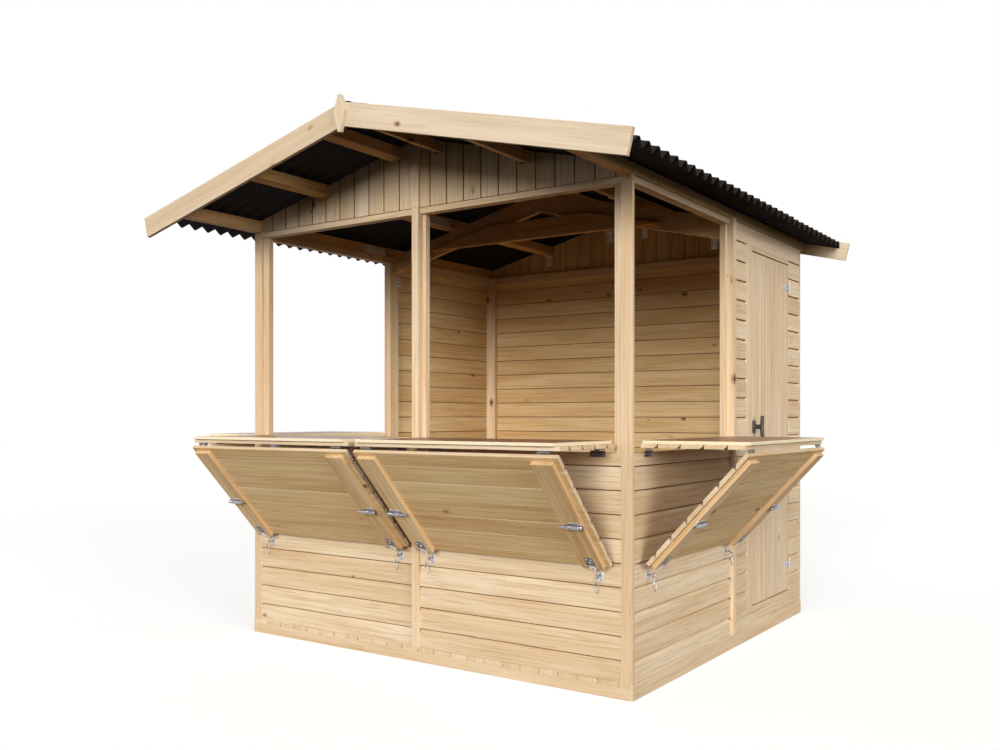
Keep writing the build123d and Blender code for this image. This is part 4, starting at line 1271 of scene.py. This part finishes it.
def make_brackets():
    plates, inner = [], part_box("back_gable")[0].y
    for lo, hi in boxes_of("purlins"):
        way, near, far = side_of(lo, hi)
        if near > 0.9:
            plates.append(splice_plate(way * near, way, -0.256, -0.083, 1.947, 1.990))
            continue
        if near > 0.3:
            plates.append(splice_plate(way * near, way, -0.239, -0.086, 2.056, 2.100))
        z = lo.z + 0.0005
        plates += angle_bracket(way * (near + far) / 2, inner, -1, z)
        plates += angle_bracket(way * (near + far) / 2, -inner, 1, z)
    lo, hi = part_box("rafter_right")
    for way in (1, -1):
        z = lo.z + 0.006
        leg = steel((0, 0, -0.055), (PLATE_T, 0.040, 0.0), "pale", 0.003, 0)
        leg = punched(leg, [(0, y, z0) for y in (0.010, 0.030) for z0 in (-0.018, -0.040)], 0)
        put(leg, moved(way * 0.979 - (PLATE_T if way > 0 else 0), 0.0125, z - 0.012))
        plates.append(leg)
    fit("purlin_plates_and_brackets", plates, [])


# ---------------------------------------------------------------- light and camera
def make_studio():
    bpy.ops.object.select_all(action="DESELECT")
    bpy.ops.mesh.primitive_plane_add(size=60, location=(0, 0, -0.0005))
    floor = bpy.context.object
    floor.name = "studio_floor"
    n = Nodes("studio floor")
    ray = n.add("ShaderNodeLightPath").outputs
    seen = n.math("MAXIMUM", ray["Is Camera Ray"], ray["Is Glossy Ray"])
    grain = n.noise(n.place(), 40.0, 2.0)
    pale = n.mix(grain, (0.49, 0.49, 0.49), (0.51, 0.51, 0.51))
    color = n.mix(seen, (0.03, 0.03, 0.03), pale)
    n.finish(color, 0.9, grain, 0.02, 0.0005, Specular_IOR_Level=0.0, Emission_Color=(1, 1, 1, 1))
    n.tree.links.new(n.math("MULTIPLY", seen, 0.68), n.shader.inputs["Emission Strength"])
    floor.data.materials.append(n.material)

    world = bpy.data.worlds.new("studio")
    bpy.context.scene.world = world
    world.use_nodes = True
    tree = world.node_tree
    tree.nodes.clear()
    ray = tree.nodes.new("ShaderNodeLightPath").outputs
    seen = tree.nodes.new("ShaderNodeMath")
    seen.operation = "MAXIMUM"
    tree.links.new(ray["Is Camera Ray"], seen.inputs[0])
    tree.links.new(ray["Is Glossy Ray"], seen.inputs[1])
    mix = tree.nodes.new("ShaderNodeMixShader")
    tree.links.new(seen.outputs[0], mix.inputs[0])
    for socket, strength, tint in ((1, 0.34, (1.0, 0.95, 0.87, 1)), (2, 1.0, (1, 1, 1, 1))):
        light = tree.nodes.new("ShaderNodeBackground")
        light.inputs["Color"].default_value = tint
        light.inputs["Strength"].default_value = strength
        tree.links.new(light.outputs[0], mix.inputs[socket])
    out = tree.nodes.new("ShaderNodeOutputWorld")
    tree.links.new(mix.outputs[0], out.inputs[0])
    key, side, fill = (-0.25, 0.94, -0.245), (-0.93, 0.30, -0.21), (0.90, 0.35, -0.20)
    for towards, strength, softness in ((key, 2.45, 23), (side, 1.65, 26), (fill, 0.7, 40)):
        bpy.ops.object.light_add(type="SUN")
        lamp = bpy.context.object
        lamp.data.energy, lamp.data.angle = strength, math.radians(softness)
        lamp.rotation_euler = Vector(towards).to_track_quat("-Z", "Y").to_euler()


def make_camera():
    bpy.ops.object.camera_add(location=(2.6413, -4.1838, 1.0518),
                              rotation=(math.radians(90), 0, math.radians(34.65)))
    camera = bpy.context.object
    camera.data.sensor_width, camera.data.lens = 36.0, 34.78
    camera.data.shift_y = 0.0408
    camera.data.clip_start, camera.data.clip_end = 0.05, 200
    bpy.context.scene.camera = camera
    bpy.context.scene.view_settings.view_transform = "Standard"


make_walls()
make_door_wall()
make_gables()
make_floor()
make_frame()
make_roof_frame()
make_roof()
make_ridge_cap()
make_barges()
make_roof_nails()
make_flaps()
make_door()
make_brackets()
for bench_piece in MADE.values():
    drop(bench_piece)
make_studio()
make_camera()
